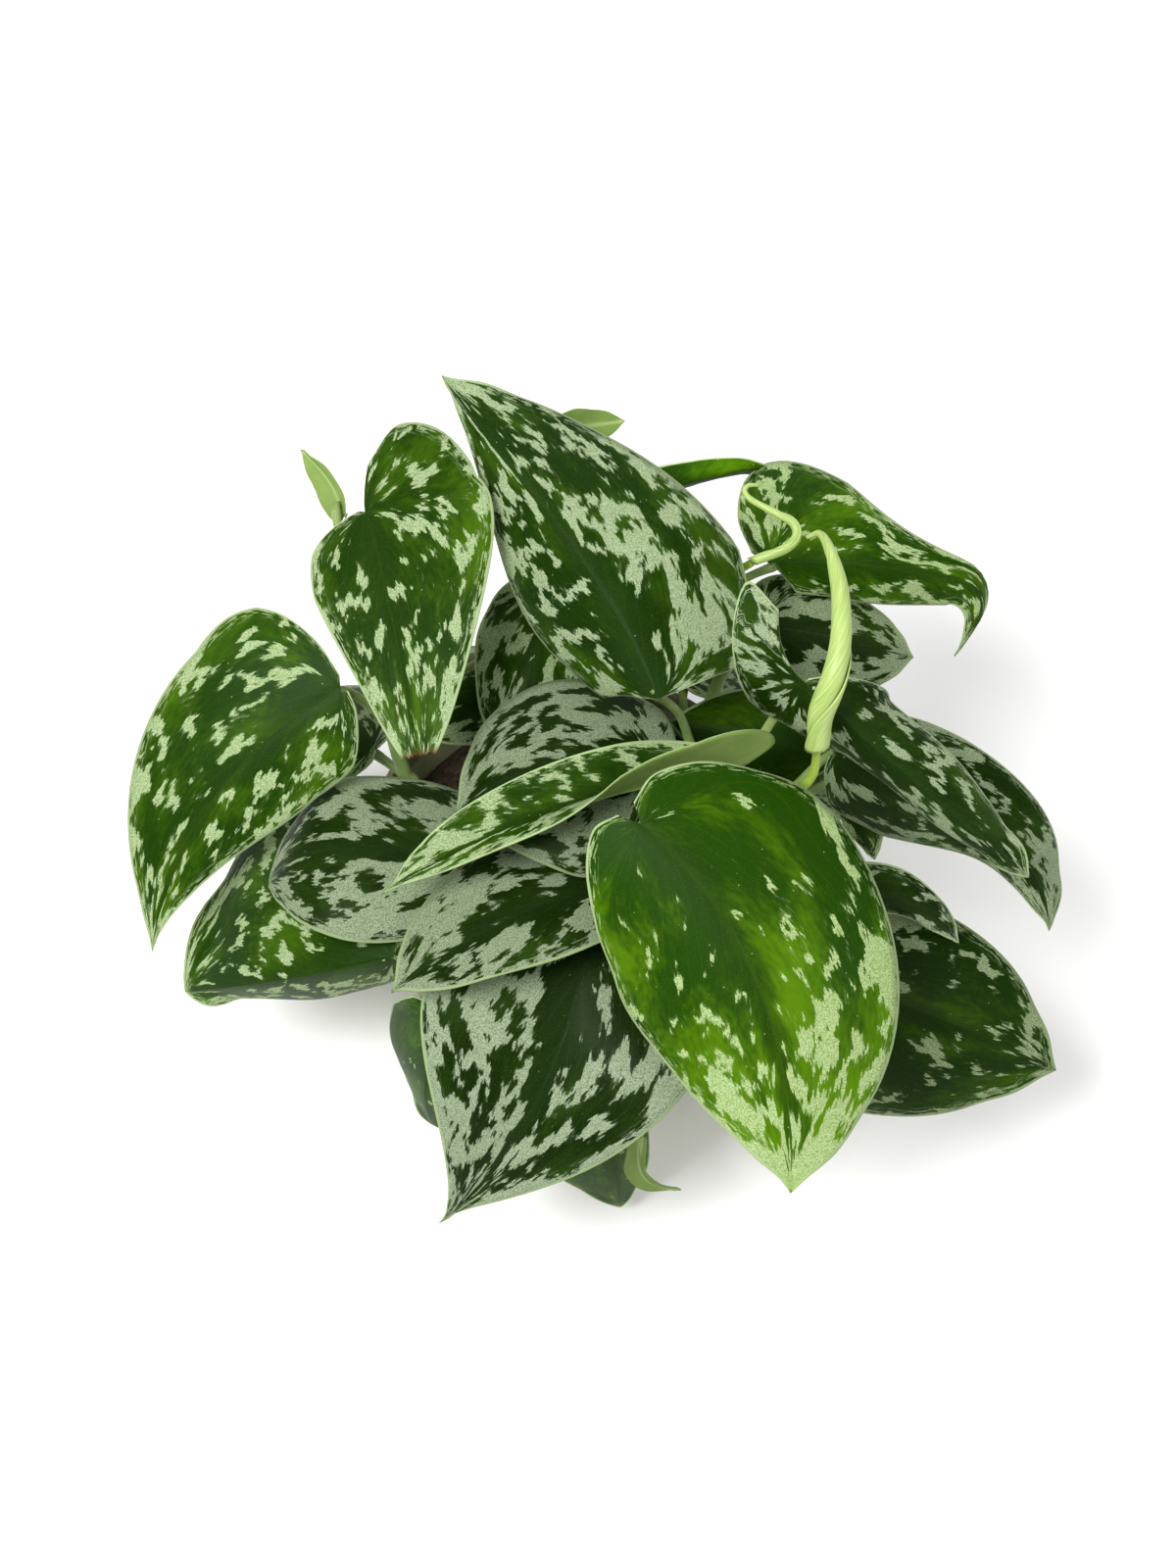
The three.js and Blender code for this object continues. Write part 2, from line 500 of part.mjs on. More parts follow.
// A blade as a thin closed body: its surface moved half the thickness up and half down.
function bladeGeometry(blade) {
  const rows = bladeGrid(blade);
  const first = [];
  let count = 0;
  for (const row of rows) {
    first.push(count);
    count += row.length;
  }
  const middle = rows.flat();
  const top = gridTriangles(rows, first);
  const normals = middle.map(() => new THREE.Vector3());
  for (const [a, b, c] of top) {
    for (const [corner, ahead, behind] of [[a, b, c], [b, c, a], [c, a, b]]) {
      const forward = middle[ahead].clone().sub(middle[corner]);
      const back = middle[behind].clone().sub(middle[corner]);
      const face = forward.clone().cross(back).normalize();
      normals[corner].addScaledVector(face, forward.angleTo(back));
    }
  }
  normals.forEach((n) => n.normalize());
  const shifted = (amount) => middle.map((p, i) => p.clone().addScaledVector(normals[i], amount));
  const points = [...shifted(BLADE_THICKNESS / 2), ...shifted(-BLADE_THICKNESS / 2)];
  const bottom = top.map(([a, b, c]) => [c + count, b + count, a + count]);
  const border = gridBorder(rows, first);
  const sides = border.flatMap((p, i) => {
    const q = border[(i + 1) % border.length];
    return [[q, p, p + count], [q, p + count, q + count]];
  });
  return closedGeometry(points, [...top, ...bottom, ...sides]);
}

// ---- stems, stalks and rolled leaves ----

// A closed tube along points. radiusAt(0..1) gives its radius, shapeAt(0..1) varies it round a ring.
function tubeGeometry(points, radiusAt, sides, shapeAt = () => 1) {
  const last = points.length - 1;
  const corners = [];
  let u = null;
  points.forEach((point, i) => {
    const ahead = points[Math.min(i + 1, last)];
    const behind = points[Math.max(i - 1, 0)];
    const along = ahead.clone().sub(behind).normalize();
    const seed = Math.abs(along.z) < STEEP ? new THREE.Vector3(0, 0, 1) : new THREE.Vector3(1, 0, 0);
    u = squareTo(u ?? along.clone().cross(seed), along);
    const v = along.clone().cross(u);
    for (let j = 0; j < sides; j++) {
      const angle = (2 * Math.PI * j) / sides;
      const radius = radiusAt(i / last) * shapeAt(j / sides);
      corners.push(
        point.clone()
          .addScaledVector(u, radius * Math.cos(angle))
          .addScaledVector(v, radius * Math.sin(angle)),
      );
    }
  });
  const start = corners.length;
  const end = start + 1;
  corners.push(points[0], points[last]);
  const triangles = [];
  for (let j = 0; j < sides; j++) {
    const next = (j + 1) % sides;
    for (let i = 0; i < last; i++) {
      const p = i * sides + j;
      const q = i * sides + next;
      triangles.push([p, q, q + sides], [p, q + sides, p + sides]);
    }
    triangles.push([start, next, j], [end, last * sides + j, last * sides + next]);
  }
  return closedGeometry(corners, triangles);
}

// Points along a smooth line through the given ones.
function smoothLine(points, stepsPerSpan) {
  const ends = [points[0].clone().multiplyScalar(2).sub(points[1])];
  const last = points.length - 1;
  ends.push(points[last].clone().multiplyScalar(2).sub(points[last - 1]));
  const all = [ends[0], ...points, ends[1]];
  const line = [];
  for (let i = 1; i < all.length - 2; i++) {
    for (let k = 0; k < stepsPerSpan; k++) {
      const t = k / stepsPerSpan;
      const point = new THREE.Vector3();
      for (const axis of ["x", "y", "z"]) {
        const [a, b, c, d] = [all[i - 1][axis], all[i][axis], all[i + 1][axis], all[i + 2][axis]];
        const curve = (2 * a - 5 * b + 4 * c - d) * t + (3 * b - a - 3 * c + d) * t * t;
        point[axis] = 0.5 * (2 * b + (c - a + curve) * t);
      }
      line.push(point);
    }
  }
  line.push(points[last].clone());
  return line;
}

// The end of a stalk under its blade, and the direction it arrives in.
function stalkEnd(stalk) {
  const blade = BLADES[stalk.leaf];
  const { along, up } = midribOf(blade).frame(0);
  const base = vec(blade.base);
  if (stalk.inLine) return { point: base.addScaledVector(along, -IN_LINE_GAP), arrival: along };
  const lean = stalk.lean ?? STALK_LEAN;
  const arrival = along.clone().multiplyScalar(1 - lean).addScaledVector(up, lean).normalize();
  base.addScaledVector(along, STALK_INSET).addScaledVector(up, -(stalk.drop ?? STALK_DROP));
  return { point: base, arrival };
}

// The line of a stalk: through its own points, or one plain curve that starts outwards and up.
function stalkLine(stalk, stem) {
  const place = stalk.from * (stem.length - 1);
  const i = Math.min(Math.floor(place), stem.length - 2);
  const start = stem[i].clone().lerp(stem[i + 1], place - i);
  const { point, arrival } = stalkEnd(stalk);
  if (stalk.via) return smoothLine([start, ...stalk.via.map(vec), point], VIA_STEPS);
  const reach = STALK_REACH * start.distanceTo(point);
  const leave = point.clone().sub(start).setZ(0).normalize().multiplyScalar(STALK_OUT);
  leave.z += STALK_UP;
  const curve = new THREE.CubicBezierCurve3(
    start,
    start.clone().addScaledVector(leave.normalize(), reach),
    point.clone().addScaledVector(arrival, -reach),
    point,
  );
  return curve.getPoints(STALK_STEPS);
}

const tapered = ([from, to]) => (t) => from + (to - from) * t;

function vineGeometry(vine) {
  const stem = smoothLine(vine.stem.map(vec), STEM_STEPS);
  let body = solidOf(tubeGeometry(stem, tapered(STEM_RADII), STEM_SIDES));
  const lines = vine.stalks.map((stalk) => stalkLine(stalk, stem));
  if (vine.shoot) lines.push(smoothLine(vine.shoot.map(vec), STEM_STEPS));
  for (const line of lines) {
    body = body.add(solidOf(tubeGeometry(line, tapered(STALK_RADII), STALK_SIDES)));
  }
  return geometryOf(body);
}

// A leaf that is still rolled: a tapering tube whose section steps in at its free edge.
function rolledGeometry({ radius, line }) {
  const radiusAt = (t) => {
    const swell = ROLL_NECK + (1 - ROLL_NECK) * Math.min(1, t / ROLL_SHOULDER);
    return radius * swell * (1 - t) ** ROLL_TAPER + ROLL_TIP;
  };
  return tubeGeometry(smoothLine(line.map(vec), STEM_STEPS), radiusAt, ROLL_SIDES, (j) => 1 - ROLL_STEP * j);
}

// ---- pot and potting mix ----

function latheGeometry(profile) {
  const points = profile.map(([radius, z]) => new THREE.Vector2(radius, z));
  return new THREE.LatheGeometry(points, POT_SIDES).rotateX(Math.PI / 2);
}

// The pot wall's outer radius at a height, below the rim band.
function wallRadius(z) {
  return BASE_RADIUS + ((SHOULDER_RADIUS - BASE_RADIUS) * z) / (POT_HEIGHT - RIM_BAND);
}

function drainHole(index) {
  const hole = new THREE.CylinderGeometry(DRAIN_RADIUS, DRAIN_RADIUS, 4 * FLOOR, DRAIN_SIDES);
  const angle = (2 * Math.PI * index) / DRAIN_COUNT;
  hole.rotateX(Math.PI / 2);
  hole.translate(DRAIN_RING * Math.cos(angle), DRAIN_RING * Math.sin(angle), FLOOR / 2);
  return solidOf(hole);
}

function potGeometry() {
  const band = POT_HEIGHT - RIM_BAND;
  let body = solidOf(
    latheGeometry([
      [0, 0],
      [BASE_RADIUS - BASE_CHAMFER, 0],
      [wallRadius(BASE_CHAMFER), BASE_CHAMFER],
      [SHOULDER_RADIUS, band - BAND_SLOPE],
      [RIM_RADIUS, band],
      [RIM_RADIUS, POT_HEIGHT - RIM_CHAMFER],
      [RIM_RADIUS - RIM_CHAMFER, POT_HEIGHT],
      [RIM_RADIUS - WALL, POT_HEIGHT],
      [RIM_RADIUS - WALL, band + BAND_SLOPE],
      [SHOULDER_RADIUS - WALL, band - BAND_SLOPE],
      [wallRadius(FLOOR) - WALL, FLOOR],
      [0, FLOOR],
    ]),
  );
  for (let i = 0; i < DRAIN_COUNT; i++) body = body.subtract(drainHole(i));
  return geometryOf(body);
}

function rootHole([x, y]) {
  const height = 2 * (MIX_TOP - ROOT_HOLE_FLOOR);
  const hole = new THREE.CylinderGeometry(ROOT_HOLE_RADIUS, ROOT_HOLE_RADIUS, height, DRAIN_SIDES);
  hole.rotateX(Math.PI / 2);
  hole.translate(x, y, ROOT_HOLE_FLOOR + height / 2);
  return solidOf(hole);
}

function mixGeometry() {
  const bottom = FLOOR + MIX_GAP;
  const shoulder = MIX_TOP - MIX_RIM_DROP;
  const inside = (z) => wallRadius(z) - WALL - MIX_GAP;
  let body = solidOf(
    latheGeometry([
      [0, bottom],
      [inside(bottom), bottom],
      [inside(shoulder), shoulder],
      [inside(MIX_TOP) - MIX_SHOULDER, MIX_TOP],
      [0, MIX_TOP],
    ]),
  );
  for (const vine of Object.values(VINES)) body = body.subtract(rootHole(vine.stem[0]));
  return geometryOf(body);
}

// ---- the whole plant ----

const group = new THREE.Group();

function addPart(name, geometry, color) {
  const material = new THREE.MeshStandardMaterial({ color, roughness: ROUGHNESS, metalness: 0 });
  const mesh = new THREE.Mesh(geometry, material);
  mesh.name = name;
  group.add(mesh);
}

addPart("pot", potGeometry(), POT_KHAKI);
addPart("potting_mix", mixGeometry(), MIX_BROWN);
for (const [name, vine] of Object.entries(VINES)) {
  addPart(name, vineGeometry(vine), STALK_GREEN);
}
for (const [name, blade] of Object.entries(BLADES)) {
  addPart(name, bladeGeometry(blade), LEAF_GREEN);
}
for (const [name, leaf] of Object.entries(ROLLED_LEAVES)) {
  addPart(name, rolledGeometry(leaf), YOUNG_GREEN);
}

export default group;
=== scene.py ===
"""Satin pothos in its grow pot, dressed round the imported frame. Tables are in millimetres."""
import math

import bpy
import numpy as np
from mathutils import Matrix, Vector


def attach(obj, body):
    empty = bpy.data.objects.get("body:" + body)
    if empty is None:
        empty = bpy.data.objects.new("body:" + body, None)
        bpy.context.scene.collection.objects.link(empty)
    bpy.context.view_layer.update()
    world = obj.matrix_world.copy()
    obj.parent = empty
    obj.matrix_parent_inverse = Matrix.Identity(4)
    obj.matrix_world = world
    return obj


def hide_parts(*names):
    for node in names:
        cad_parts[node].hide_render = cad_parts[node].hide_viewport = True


MM = 0.001

# ---- camera, light and stage ----
CAMERA_ELEVATION = 60
CAMERA_DISTANCE = 750
CAMERA_TARGET = (3.3, 16, 104)
CAMERA_LENS = 60.75
CAMERA_SENSOR = 36
FLOOR_SIZE = 8000
FLOOR_DROP = 0.2
WORLD_STRENGTH = 0.56
STUDIO_GAIN = 1.4  # how much brighter than its own colour a level surface looks in this light
# The place, size and power in watts of each lamp. All are aimed at the plant.
LAMPS = {
    "key": {"at": (-450, -350, 1100), "size": 500, "power": 17},
    "fill": {"at": (700, -500, 800), "size": 800, "power": 4.2},
    "back": {"at": (100, 900, 700), "size": 700, "power": 2.8},
}

# ---- pot and potting mix ----
POT_HEIGHT = 95
RIM_RADIUS = 60
RIM_BAND = 11
WALL = 1.8
SHOULDER_RADIUS = 57.5
BASE_RADIUS = 42
BASE_CHAMFER = 1
FLOOR = 2.5
BAND_SLOPE = 1.5
BAND_EASE = 0.3  # how high the band's two corners are eased, and how far out and in
BAND_EASE_OUT = 0.2
BAND_EASE_IN = 0.4
RIM_ROUND = 0.6
RIM_STEP = 20  # degrees between the points of the rounded rim
SHARP_FROM = 38  # degrees from which an edge of the pot is shaded sharp
POT_SIDES = 128
DRAIN_RADIUS = 3
DRAIN_RING = 24
DRAIN_COUNT = 6
DRAIN_SIDES = 24
MIX_TOP = 82
MIX_GAP = 0.4
MIX_RINGS = 56
MIX_SIDES = 144
MIX_SHOULDER = 2.2  # the top of the mix's plain wall, below MIX_TOP
MIX_EDGE_GAP = 0.2  # the outer ring of its surface, inwards of that wall
MIX_EDGE_DROP = 1.6
MIX_EDGE_WIDTH = 5
MIX_ROUGHNESS = 1.1
MIX_JITTER = 0.22
CRUMB_COUNT = 1500
CRUMB_RADII = (0.5, 1.9)
CRUMB_POWER = 2.5  # more small crumbs than large ones
CRUMB_STRETCH = (0.6, 1.2)
CRUMB_BUMPS = (0.8, 1.2)
CRUMB_FLAT = (1, 1, 0.6)
CRUMB_LIFT = 0.15  # how far a crumb's middle lies over the mix, in its own size
CRUMB_SEED = 7

# ---- blades, stems and stalks ----
BLADE_THICKNESS = 0.66
MARGIN_THICKNESS = 0.34
MARGIN_WIDTH = 2.5
WIDEST = 0.26  # where along the midrib the right and left points of a blade are given
HANDLES = (0.33, 0.67)  # where along the midrib its curve's two handles stand
ARCH = 0.1
MOST_FLARE = 1.3  # where flare stops growing, in lengths of WIDEST behind it
FLAT = 1e-3  # a droop under this many radians is taken as none
VEIN_BOW = 1.25  # how late a vein turns forward on its way out
LEVEL_FROM = 0.15  # how far before the tip the fold starts to level out
LEAST_HALF = 0.8  # least half width, up to TIP_SPAN before the tip
TIP_SPAN = 0.04
RAGGED = 0.012
ROWS_PER_SPAN = 6
HALF_COLUMNS = 17
COLUMN_POWER = 1.25
RIPPLE = 0.5
RIPPLE_COUNT = 3.2
RIPPLE_FROM = 12  # mm from the midrib at which the ripple is full
VEIN_RELIEF = 0.06
VEIN_PACE = 1.9  # radians of the relief between the veins, per mm across them
MIDRIB_GROOVE = (0.3, 0.06)  # depth at the base and at the tip
MIDRIB_RIDGE = (0.95, 0.15)
MIDRIB_WIDTH = 1.3
LEAST_DRY = 0.7
SALT_STEP = 7.31  # how far apart the noises of two blades are drawn
STEM_RADII = (2.6, 1.6)
STALK_RADII = (1.5, 1.1)
STEM_SIDES = 16
STALK_SIDES = 12
FRAME_STEM_STEPS = 2  # steps between two points of a stem's line in the frame, where stalks start
STEM_STEPS = 24
STALK_STEPS = 22
VIA_STEPS = 6
SHOOT_STEPS = 10
STALK_INSET = 2  # how far under the blade a stalk's line ends in the frame
STALK_DROP = 2.1  # how far below the blade's midrib it ends
STALK_LEAN = 0.55  # 0 arrives along the midrib, 1 square to the blade
IN_LINE_GAP = 1.6
STALK_REACH = 0.35  # length of a stalk's curve handles, as a share of its span
STALK_OUT = 0.6  # a stalk starts this much outwards
STALK_UP = 0.4  # and this much up
JOINT_AHEAD = 1  # from a stalk's end in the frame to where it joins its blade
JOINT_DROP = 0.35
STEEP = 0.9  # a tube that starts steeper than this takes its first side from x, not z

# Half a heart-shaped outline with a drawn-out tip, for a blade of length 1 and half width 1: the vein's
# label, the edge point along and across where that vein ends, and where it leaves the midrib.
OUTLINE = np.array([
    (0.0, -0.06, 0.08, 0.0),
    (0.09, -0.1, 0.34, 0.02),
    (0.2, -0.065, 0.68, 0.045),
    (0.32, 0.04, 0.92, 0.085),
    (0.44, 0.19, 1.0, 0.15),
    (0.56, 0.38, 0.98, 0.24),
    (0.68, 0.58, 0.85, 0.38),
    (0.8, 0.77, 0.61, 0.57),
    (0.9, 0.9, 0.3, 0.76),
    (0.96, 0.96, 0.1, 0.89),
    (1.0, 1.0, 0.0, 1.0),
])
ALONG, ACROSS, RISE = 1, 2, 3

# The blades, shaped as in the frame, but leaf_04 is a little narrower to stay in the frame's box.
# base, tip: the two ends of the midrib. right, left: the edges at WIDEST.
# arch, bend: how far the midrib bows up and sideways near its base and its tip, per length.
# droop: degrees that each half curls down. lobe: length of the base lobes. sweep: how far the base
# edge sweeps forward. flare: extra width of the lobe. full: extra width half way to the tip.
# taper: how much narrower the tip is. hood: degrees that a half folds down towards its lobe.
# lean: how far the lobe leans over the midrib's line. turn: degrees per length that a half folds
# on its way to the tip. nod: a tip that hangs over: from where, degrees, over what length and
# degrees of skew. Pairs are right and left, or base and tip, but cut is the veins where a torn tip
# ends, at its midrib and its edges. One number stands for both.
# cover: how much of the upper side is silver. tipward: how much more so towards the tip. tone: 0 dark
# green to 1 yellow-green. The blade's painted shade: how much darker the whole blade is painted, for the
# shade it lies in under other leaves; below 0 it is painted lighter. dry: how far from its end the blade
# has dried out. salt: draws its noises elsewhere.
BLADES = {
    "leaf_01": dict(base=(17, -26, 156), tip=(56, -107, 104), right=(8, -53, 128), left=(80, -32, 139),
        arch=0.08, bend=(-0.16, -0.14), droop=35, lobe=(1, 0.9), sweep=(0.08, 0.1), flare=-0.15,
        full=(0.2, 0.05), taper=(0.15, 0.05), cover=0.2, tone=0.9, tipward=0.3),
    "leaf_02": dict(base=(22, 13, 154), tip=(-38, 113, 166), right=(47, 59, 154), left=(-8, 39, 140),
        arch=(0.08, 0.06), bend=(0.08, 0), droop=25, lobe=0, sweep=(0.03, 0.1), flare=-0.25,
        full=(0, 0.45), taper=(0.35, 0.95), hood=(10, 25), cover=0.46, tone=0.25),
    "leaf_03": dict(base=(-59, 76, 152), tip=(-41, -4, 132), right=(-74, 59, 145), left=(-22, 58, 160),
        arch=0.05, bend=(-0.04, -0.03), droop=15, lobe=(0.3, 2.7), sweep=(0.1, 0.05), flare=(-0.1, 0),
        taper=(0.6, 0.7), lean=(0, -0.4), cut=(0.953, 0.882), cover=0.34, tone=0.45, dry=3),
    "leaf_04": dict(base=(-65, 28, 136), tip=(-121, -23, 76), right=(-113.5, 38, 127),
        left=(-70, 7, 116), arch=(0.08, 0.06), bend=0.14, lobe=0.4, sweep=0.1, flare=(0.05, -0.05),
        full=(0.15, 0.2), taper=(0.65, 0.75), cover=0.32, tone=0.55, salt=20),
    "leaf_05": dict(base=(-24, -12, 113), tip=(-87, -10, 91), right=(-44, 14, 109), left=(-42, -36, 109),
        arch=(0.1, 0.5), full=(0, 0.1), taper=(-0.8, -0.3), cover=0.54, tone=0.1, painted_shade=0.25),
    "leaf_06": dict(base=(22, 5, 129), tip=(-33, -4, 122), right=(3, 36, 126), left=(9, -23, 123),
        arch=(0.15, 0.2), bend=(0.1, 0.05), droop=30, full=0.1, taper=(-0.2, 0), cover=0.64, tone=0.1,
        dry=1.5, painted_shade=0.3),
    "leaf_07": dict(base=(34, 0, 137), tip=(-51, -33, 131), right=(16, 7.5, 143), left=(21, -8, 153.5),
        arch=0.05, bend=0.05, droop=(10, 0), lobe=(1, 2.3), flare=(0, 0.25), full=(0, -0.1),
        taper=(-0.2, 0.8), hood=(25, -12), turn=(0, -120), cover=0.45, tone=0.5),
    "leaf_08": dict(base=(10, -25, 120), tip=(-49, -55, 116), right=(-14, -6, 115), left=(-1, -48, 125),
        bend=(0.05, 0), cover=0.66, tone=0.1, painted_shade=0.25),
    "leaf_09": dict(base=(2, 57, 106), tip=(3, 118, 52), right=(28, 86, 84), left=(-22, 86, 84),
        arch=(0.2, 0.15), droop=25, lobe=0.3, flare=-0.5),
    "leaf_10": dict(base=(-50, -39, 105), tip=(-114, -26, 56), right=(-76, 6, 99), left=(-60, -35, 75),
        arch=(0.15, 0.1), lobe=(0.6, 0.3), flare=(0, -0.4), full=(0.2, 0), taper=(-0.8, 0), cover=0.35,
        tone=0.5),
    "leaf_11": dict(base=(5, -32, 111), tip=(-39, -92, 42), right=(-41, -50, 109), left=(34, -69, 104),
        arch=(0.28, 0.15), bend=-0.1, droop=25, lobe=0.2, full=(0.2, 0.05), taper=(0.85, 0.99),
        hood=(30, 20), cover=0.62, tone=0, painted_shade=0.1),
    "leaf_12": dict(base=(-37, -54, 98), tip=(-41, -58, 31), right=(-53, -42, 71), left=(-26, -57, 90),
        arch=(0.15, 0.12), lobe=0.2, flare=-0.4, cover=0.03, tone=0.6),
    "leaf_13": dict(base=(7, -66, 84), tip=(13, -74, 8), right=(-9, -67, 63), left=(20, -66, 61),
        lobe=0.2, flare=-0.4, full=(0.6, 0.1), cover=0.03, tone=0.7),
    "leaf_14": dict(base=(18, -74, 64), tip=(30, -80, 37.5), right=(19.5, -77, 55), left=(14, -78, 55),
        arch=0.02, bend=(-0.15, -0.4), lobe=0, full=(0, 0.3), taper=(0.6, 0), cover=0, tone=0.5,
        painted_shade=0.2),
    "leaf_15": dict(base=(54, -39, 100), tip=(136, -54, 63), right=(66, -62, 64), left=(87, -18, 102),
        arch=0.12, bend=-0.05, droop=25, flare=(0, -0.15), full=(0.15, 0.1), cover=0.22, tone=0.45,
        painted_shade=0.3),
    "leaf_16": dict(base=(67, -27, 118), tip=(106, -31, 97), right=(78, -28, 112), left=(79, -17, 119),
        arch=0.15, bend=-0.15, droop=10, cover=0.15, tone=0),
    "leaf_17": dict(base=(60, 9, 169), tip=(123, -22, 119), right=(68, 6, 145), left=(89, 10, 151),
        arch=(0.1, 0.15), bend=(0, -0.05), droop=25, lobe=(3.6, 0.3), sweep=(0.08, 0.2),
        flare=(0.5, -0.1), full=(-0.1, 0), hood=(-20, -30), lean=(2.8, 0), cover=0.4, tone=0.15),
    "leaf_18": dict(base=(71, 11, 129), tip=(134, -20, 83), right=(81, 4, 100), left=(107, 19, 124),
        arch=0.12, bend=(-0.12, -0.3), droop=25, lobe=(0.3, 0.5), sweep=0.06, flare=(-0.3, 0),
        full=(-0.2, 0.05), taper=(0.6, 0.1), tone=0.2, painted_shade=0.2),
    "leaf_19": dict(base=(55, 69, 137), tip=(137, 69, 118), right=(73, 65, 125), left=(71, 95, 140),
        bend=(-0.05, 0), lobe=(0, 1), sweep=(0.1, 0), flare=(-0.2, 0.25), full=(0.1, -0.45),
        taper=(0.4, 0.8), nod=(0.64, 100, 0.22, -50), cover=0.34, tone=0.7),
    "leaf_20": dict(base=(52, 57, 122), tip=(98, 58, 105), right=(67, 43, 102), left=(73, 74, 122),
        bend=(-0.05, 0), cover=0.72, tone=0.2, painted_shade=0.3),
    "leaf_21": dict(base=(-27, 51, 102), tip=(-50, 90, 28), right=(-14, 74, 80), left=(-54, 52, 80),
        arch=(0.25, 0.2), droop=25, lobe=0.3, flare=-0.5),
    "leaf_22": dict(base=(31, 52, 103), tip=(54, 88, 26), right=(54, 54, 79), left=(20, 76, 81),
        arch=(0.25, 0.2), droop=25, lobe=0.3, flare=-0.5),
    "leaf_23": dict(base=(-5, 108, 148), tip=(14, 114, 144), right=(3, 114, 150), left=(3, 105, 145),
        cover=0, tone=1),
    "leaf_24": dict(base=(14, 87, 145), tip=(56, 104, 136), right=(29, 97, 135), left=(23, 94, 149),
        arch=0.05, bend=(-0.05, -0.1), cover=0, tone=1, painted_shade=-0.35),
    "leaf_25": dict(base=(-66, 85, 139), tip=(-79, 103, 145), right=(-75, 93, 139), left=(-69, 94, 145),
        bend=(-0.1, -0.05), droop=-30, cover=0, tone=1),
    "leaf_26": dict(base=(-6, 66, 128), tip=(-20, 20, 111), right=(-30, 50, 119), left=(6, 41, 116),
        tone=0.4, painted_shade=0.15),
    "leaf_27": dict(base=(-14, 45, 110), tip=(-46, 32, 105), right=(-28, 52, 114), left=(-26, 28, 104)),
    "leaf_28": dict(base=(72, 21, 112), tip=(26, 31, 113), right=(56, 40, 118), left=(56, 16, 104),
        lobe=0.3, flare=-0.4, cover=0, tone=0.7, painted_shade=0.35),
    "leaf_29": dict(base=(74, 18, 101), tip=(86, 3, 83), right=(76, 11, 91), left=(89, 13, 92), lobe=0,
        cover=0.3, tone=0.4),
    "leaf_30": dict(base=(-58, 28, 104), tip=(-106, 60, 50), right=(-60, 60, 86), left=(-80, 18, 86),
        arch=(0.2, 0.15), droop=25, lobe=0.3, flare=-0.5),
    "leaf_31": dict(base=(53, 25, 105), tip=(96, 50, 48), right=(74, 14, 86), left=(55, 54, 88),
        arch=(0.2, 0.15), droop=25, lobe=0.3, flare=-0.5),
}

DEFAULT_COVER = 0.5
DEFAULT_TONE = 0.3
# What a half has where its blade doesn't say.
USUAL_HALF = {"droop": 20, "lobe": 1, "hood": 0, "flare": 0, "turn": 0, "sweep": 0.04, "full": 0,
              "taper": 0, "lean": 0}
IN_DEGREES = ("droop", "hood", "turn")

# The vines, as in the frame. A stalk is (leaf, where along the stem it starts, settings), and a
# shoot carries a leaf that is still rolled.
VINES = {
    "vine_1": dict(
        stem=[(23, -16, 78), (23, -16, 87), (23, -20, 100), (21, -20, 120), (20, -19, 134)],
        stalks=[("leaf_01", 0.97, {}), ("leaf_15", 0.35, dict(via=[(46, -33, 98.8)], drop=2.8)),
                ("leaf_16", 0.6, dict(drop=2.4)), ("leaf_08", 0.5, {})]),
    "vine_2": dict(
        stem=[(-32, -12, 78), (-32, -12, 87), (-32, -18, 93), (-31, -24, 98)],
        stalks=[("leaf_10", 0.8, dict(drop=3)), ("leaf_12", 0.95, dict(via=[(-33, -42, 102)])),
                ("leaf_05", 0.6, {})]),
    "vine_3": dict(
        stem=[(0, -42, 78), (0, -42, 87), (3, -42, 93), (6, -39, 99)],
        stalks=[("leaf_13", 0.6, dict(via=[(4, -52, 99), (6, -60, 98)], drop=2.6)),
                ("leaf_14", 0.8, dict(via=[(12, -54, 99), (16, -62, 96), (18, -69, 82)], in_line=True)),
                ("leaf_11", 0.95, {})]),
    "vine_4": dict(
        stem=[(36, 6, 78), (36, 6, 87), (36, 9, 97), (36, 12, 107)],
        stalks=[("leaf_06", 0.5, {}), ("leaf_07", 0.75, {}),
                ("leaf_02", 0.97, dict(via=[(32, 18, 121), (28, 20, 136)], drop=2.9)),
                ("leaf_17", 0.9, dict(via=[(47, 13, 124), (54, 15, 143), (57, 15, 156)]))]),
    "vine_5": dict(
        stem=[(44, 8, 78), (44, 8, 87), (49, 8, 97), (56, 8, 108)],
        stalks=[("leaf_29", 0.75, dict(via=[(60, 11, 100)], in_line=True)),
                ("leaf_28", 0.7, dict(via=[(61, 13, 99.5), (70, 21, 103)], drop=3)),
                ("leaf_18", 0.97, {})],
        shoot=[(55, 8, 107), (60, -5, 138), (63, -6, 148), (63, -6, 162)]),
    "vine_6": dict(
        stem=[(-42, 18, 78), (-42, 18, 87), (-49, 22, 100), (-53, 32, 116), (-53, 44, 130)],
        stalks=[("leaf_30", 0.45, {}), ("leaf_04", 0.75, {}), ("leaf_03", 0.95, {}),
                ("leaf_25", 0.98, dict(drop=3, lean=0.2))]),
    "vine_7": dict(
        stem=[(-2, 38, 78), (-2, 38, 87), (-4, 46, 97), (-8, 54, 108), (-6, 63, 119)],
        stalks=[("leaf_27", 0.5, {}), ("leaf_21", 0.4, dict(via=[(-20, 45, 98.5)])),
                ("leaf_09", 0.5, {}), ("leaf_26", 0.85, {}), ("leaf_23", 0.98, {}),
                ("leaf_24", 0.9, {})]),
    "vine_8": dict(
        stem=[(32, 34, 78), (32, 34, 87), (36, 40, 97), (41, 48, 108), (44, 57, 119)],
        stalks=[("leaf_31", 0.45, {}), ("leaf_22", 0.35, dict(via=[(31, 45, 99.5)], drop=3)),
                ("leaf_20", 0.8, {}), ("leaf_19", 0.95, dict(via=[(44, 66, 128)], drop=2.5))],
        shoot=[(42, 50, 110), (36, 60, 124), (43, 62, 140), (49, 63, 146)]),
}

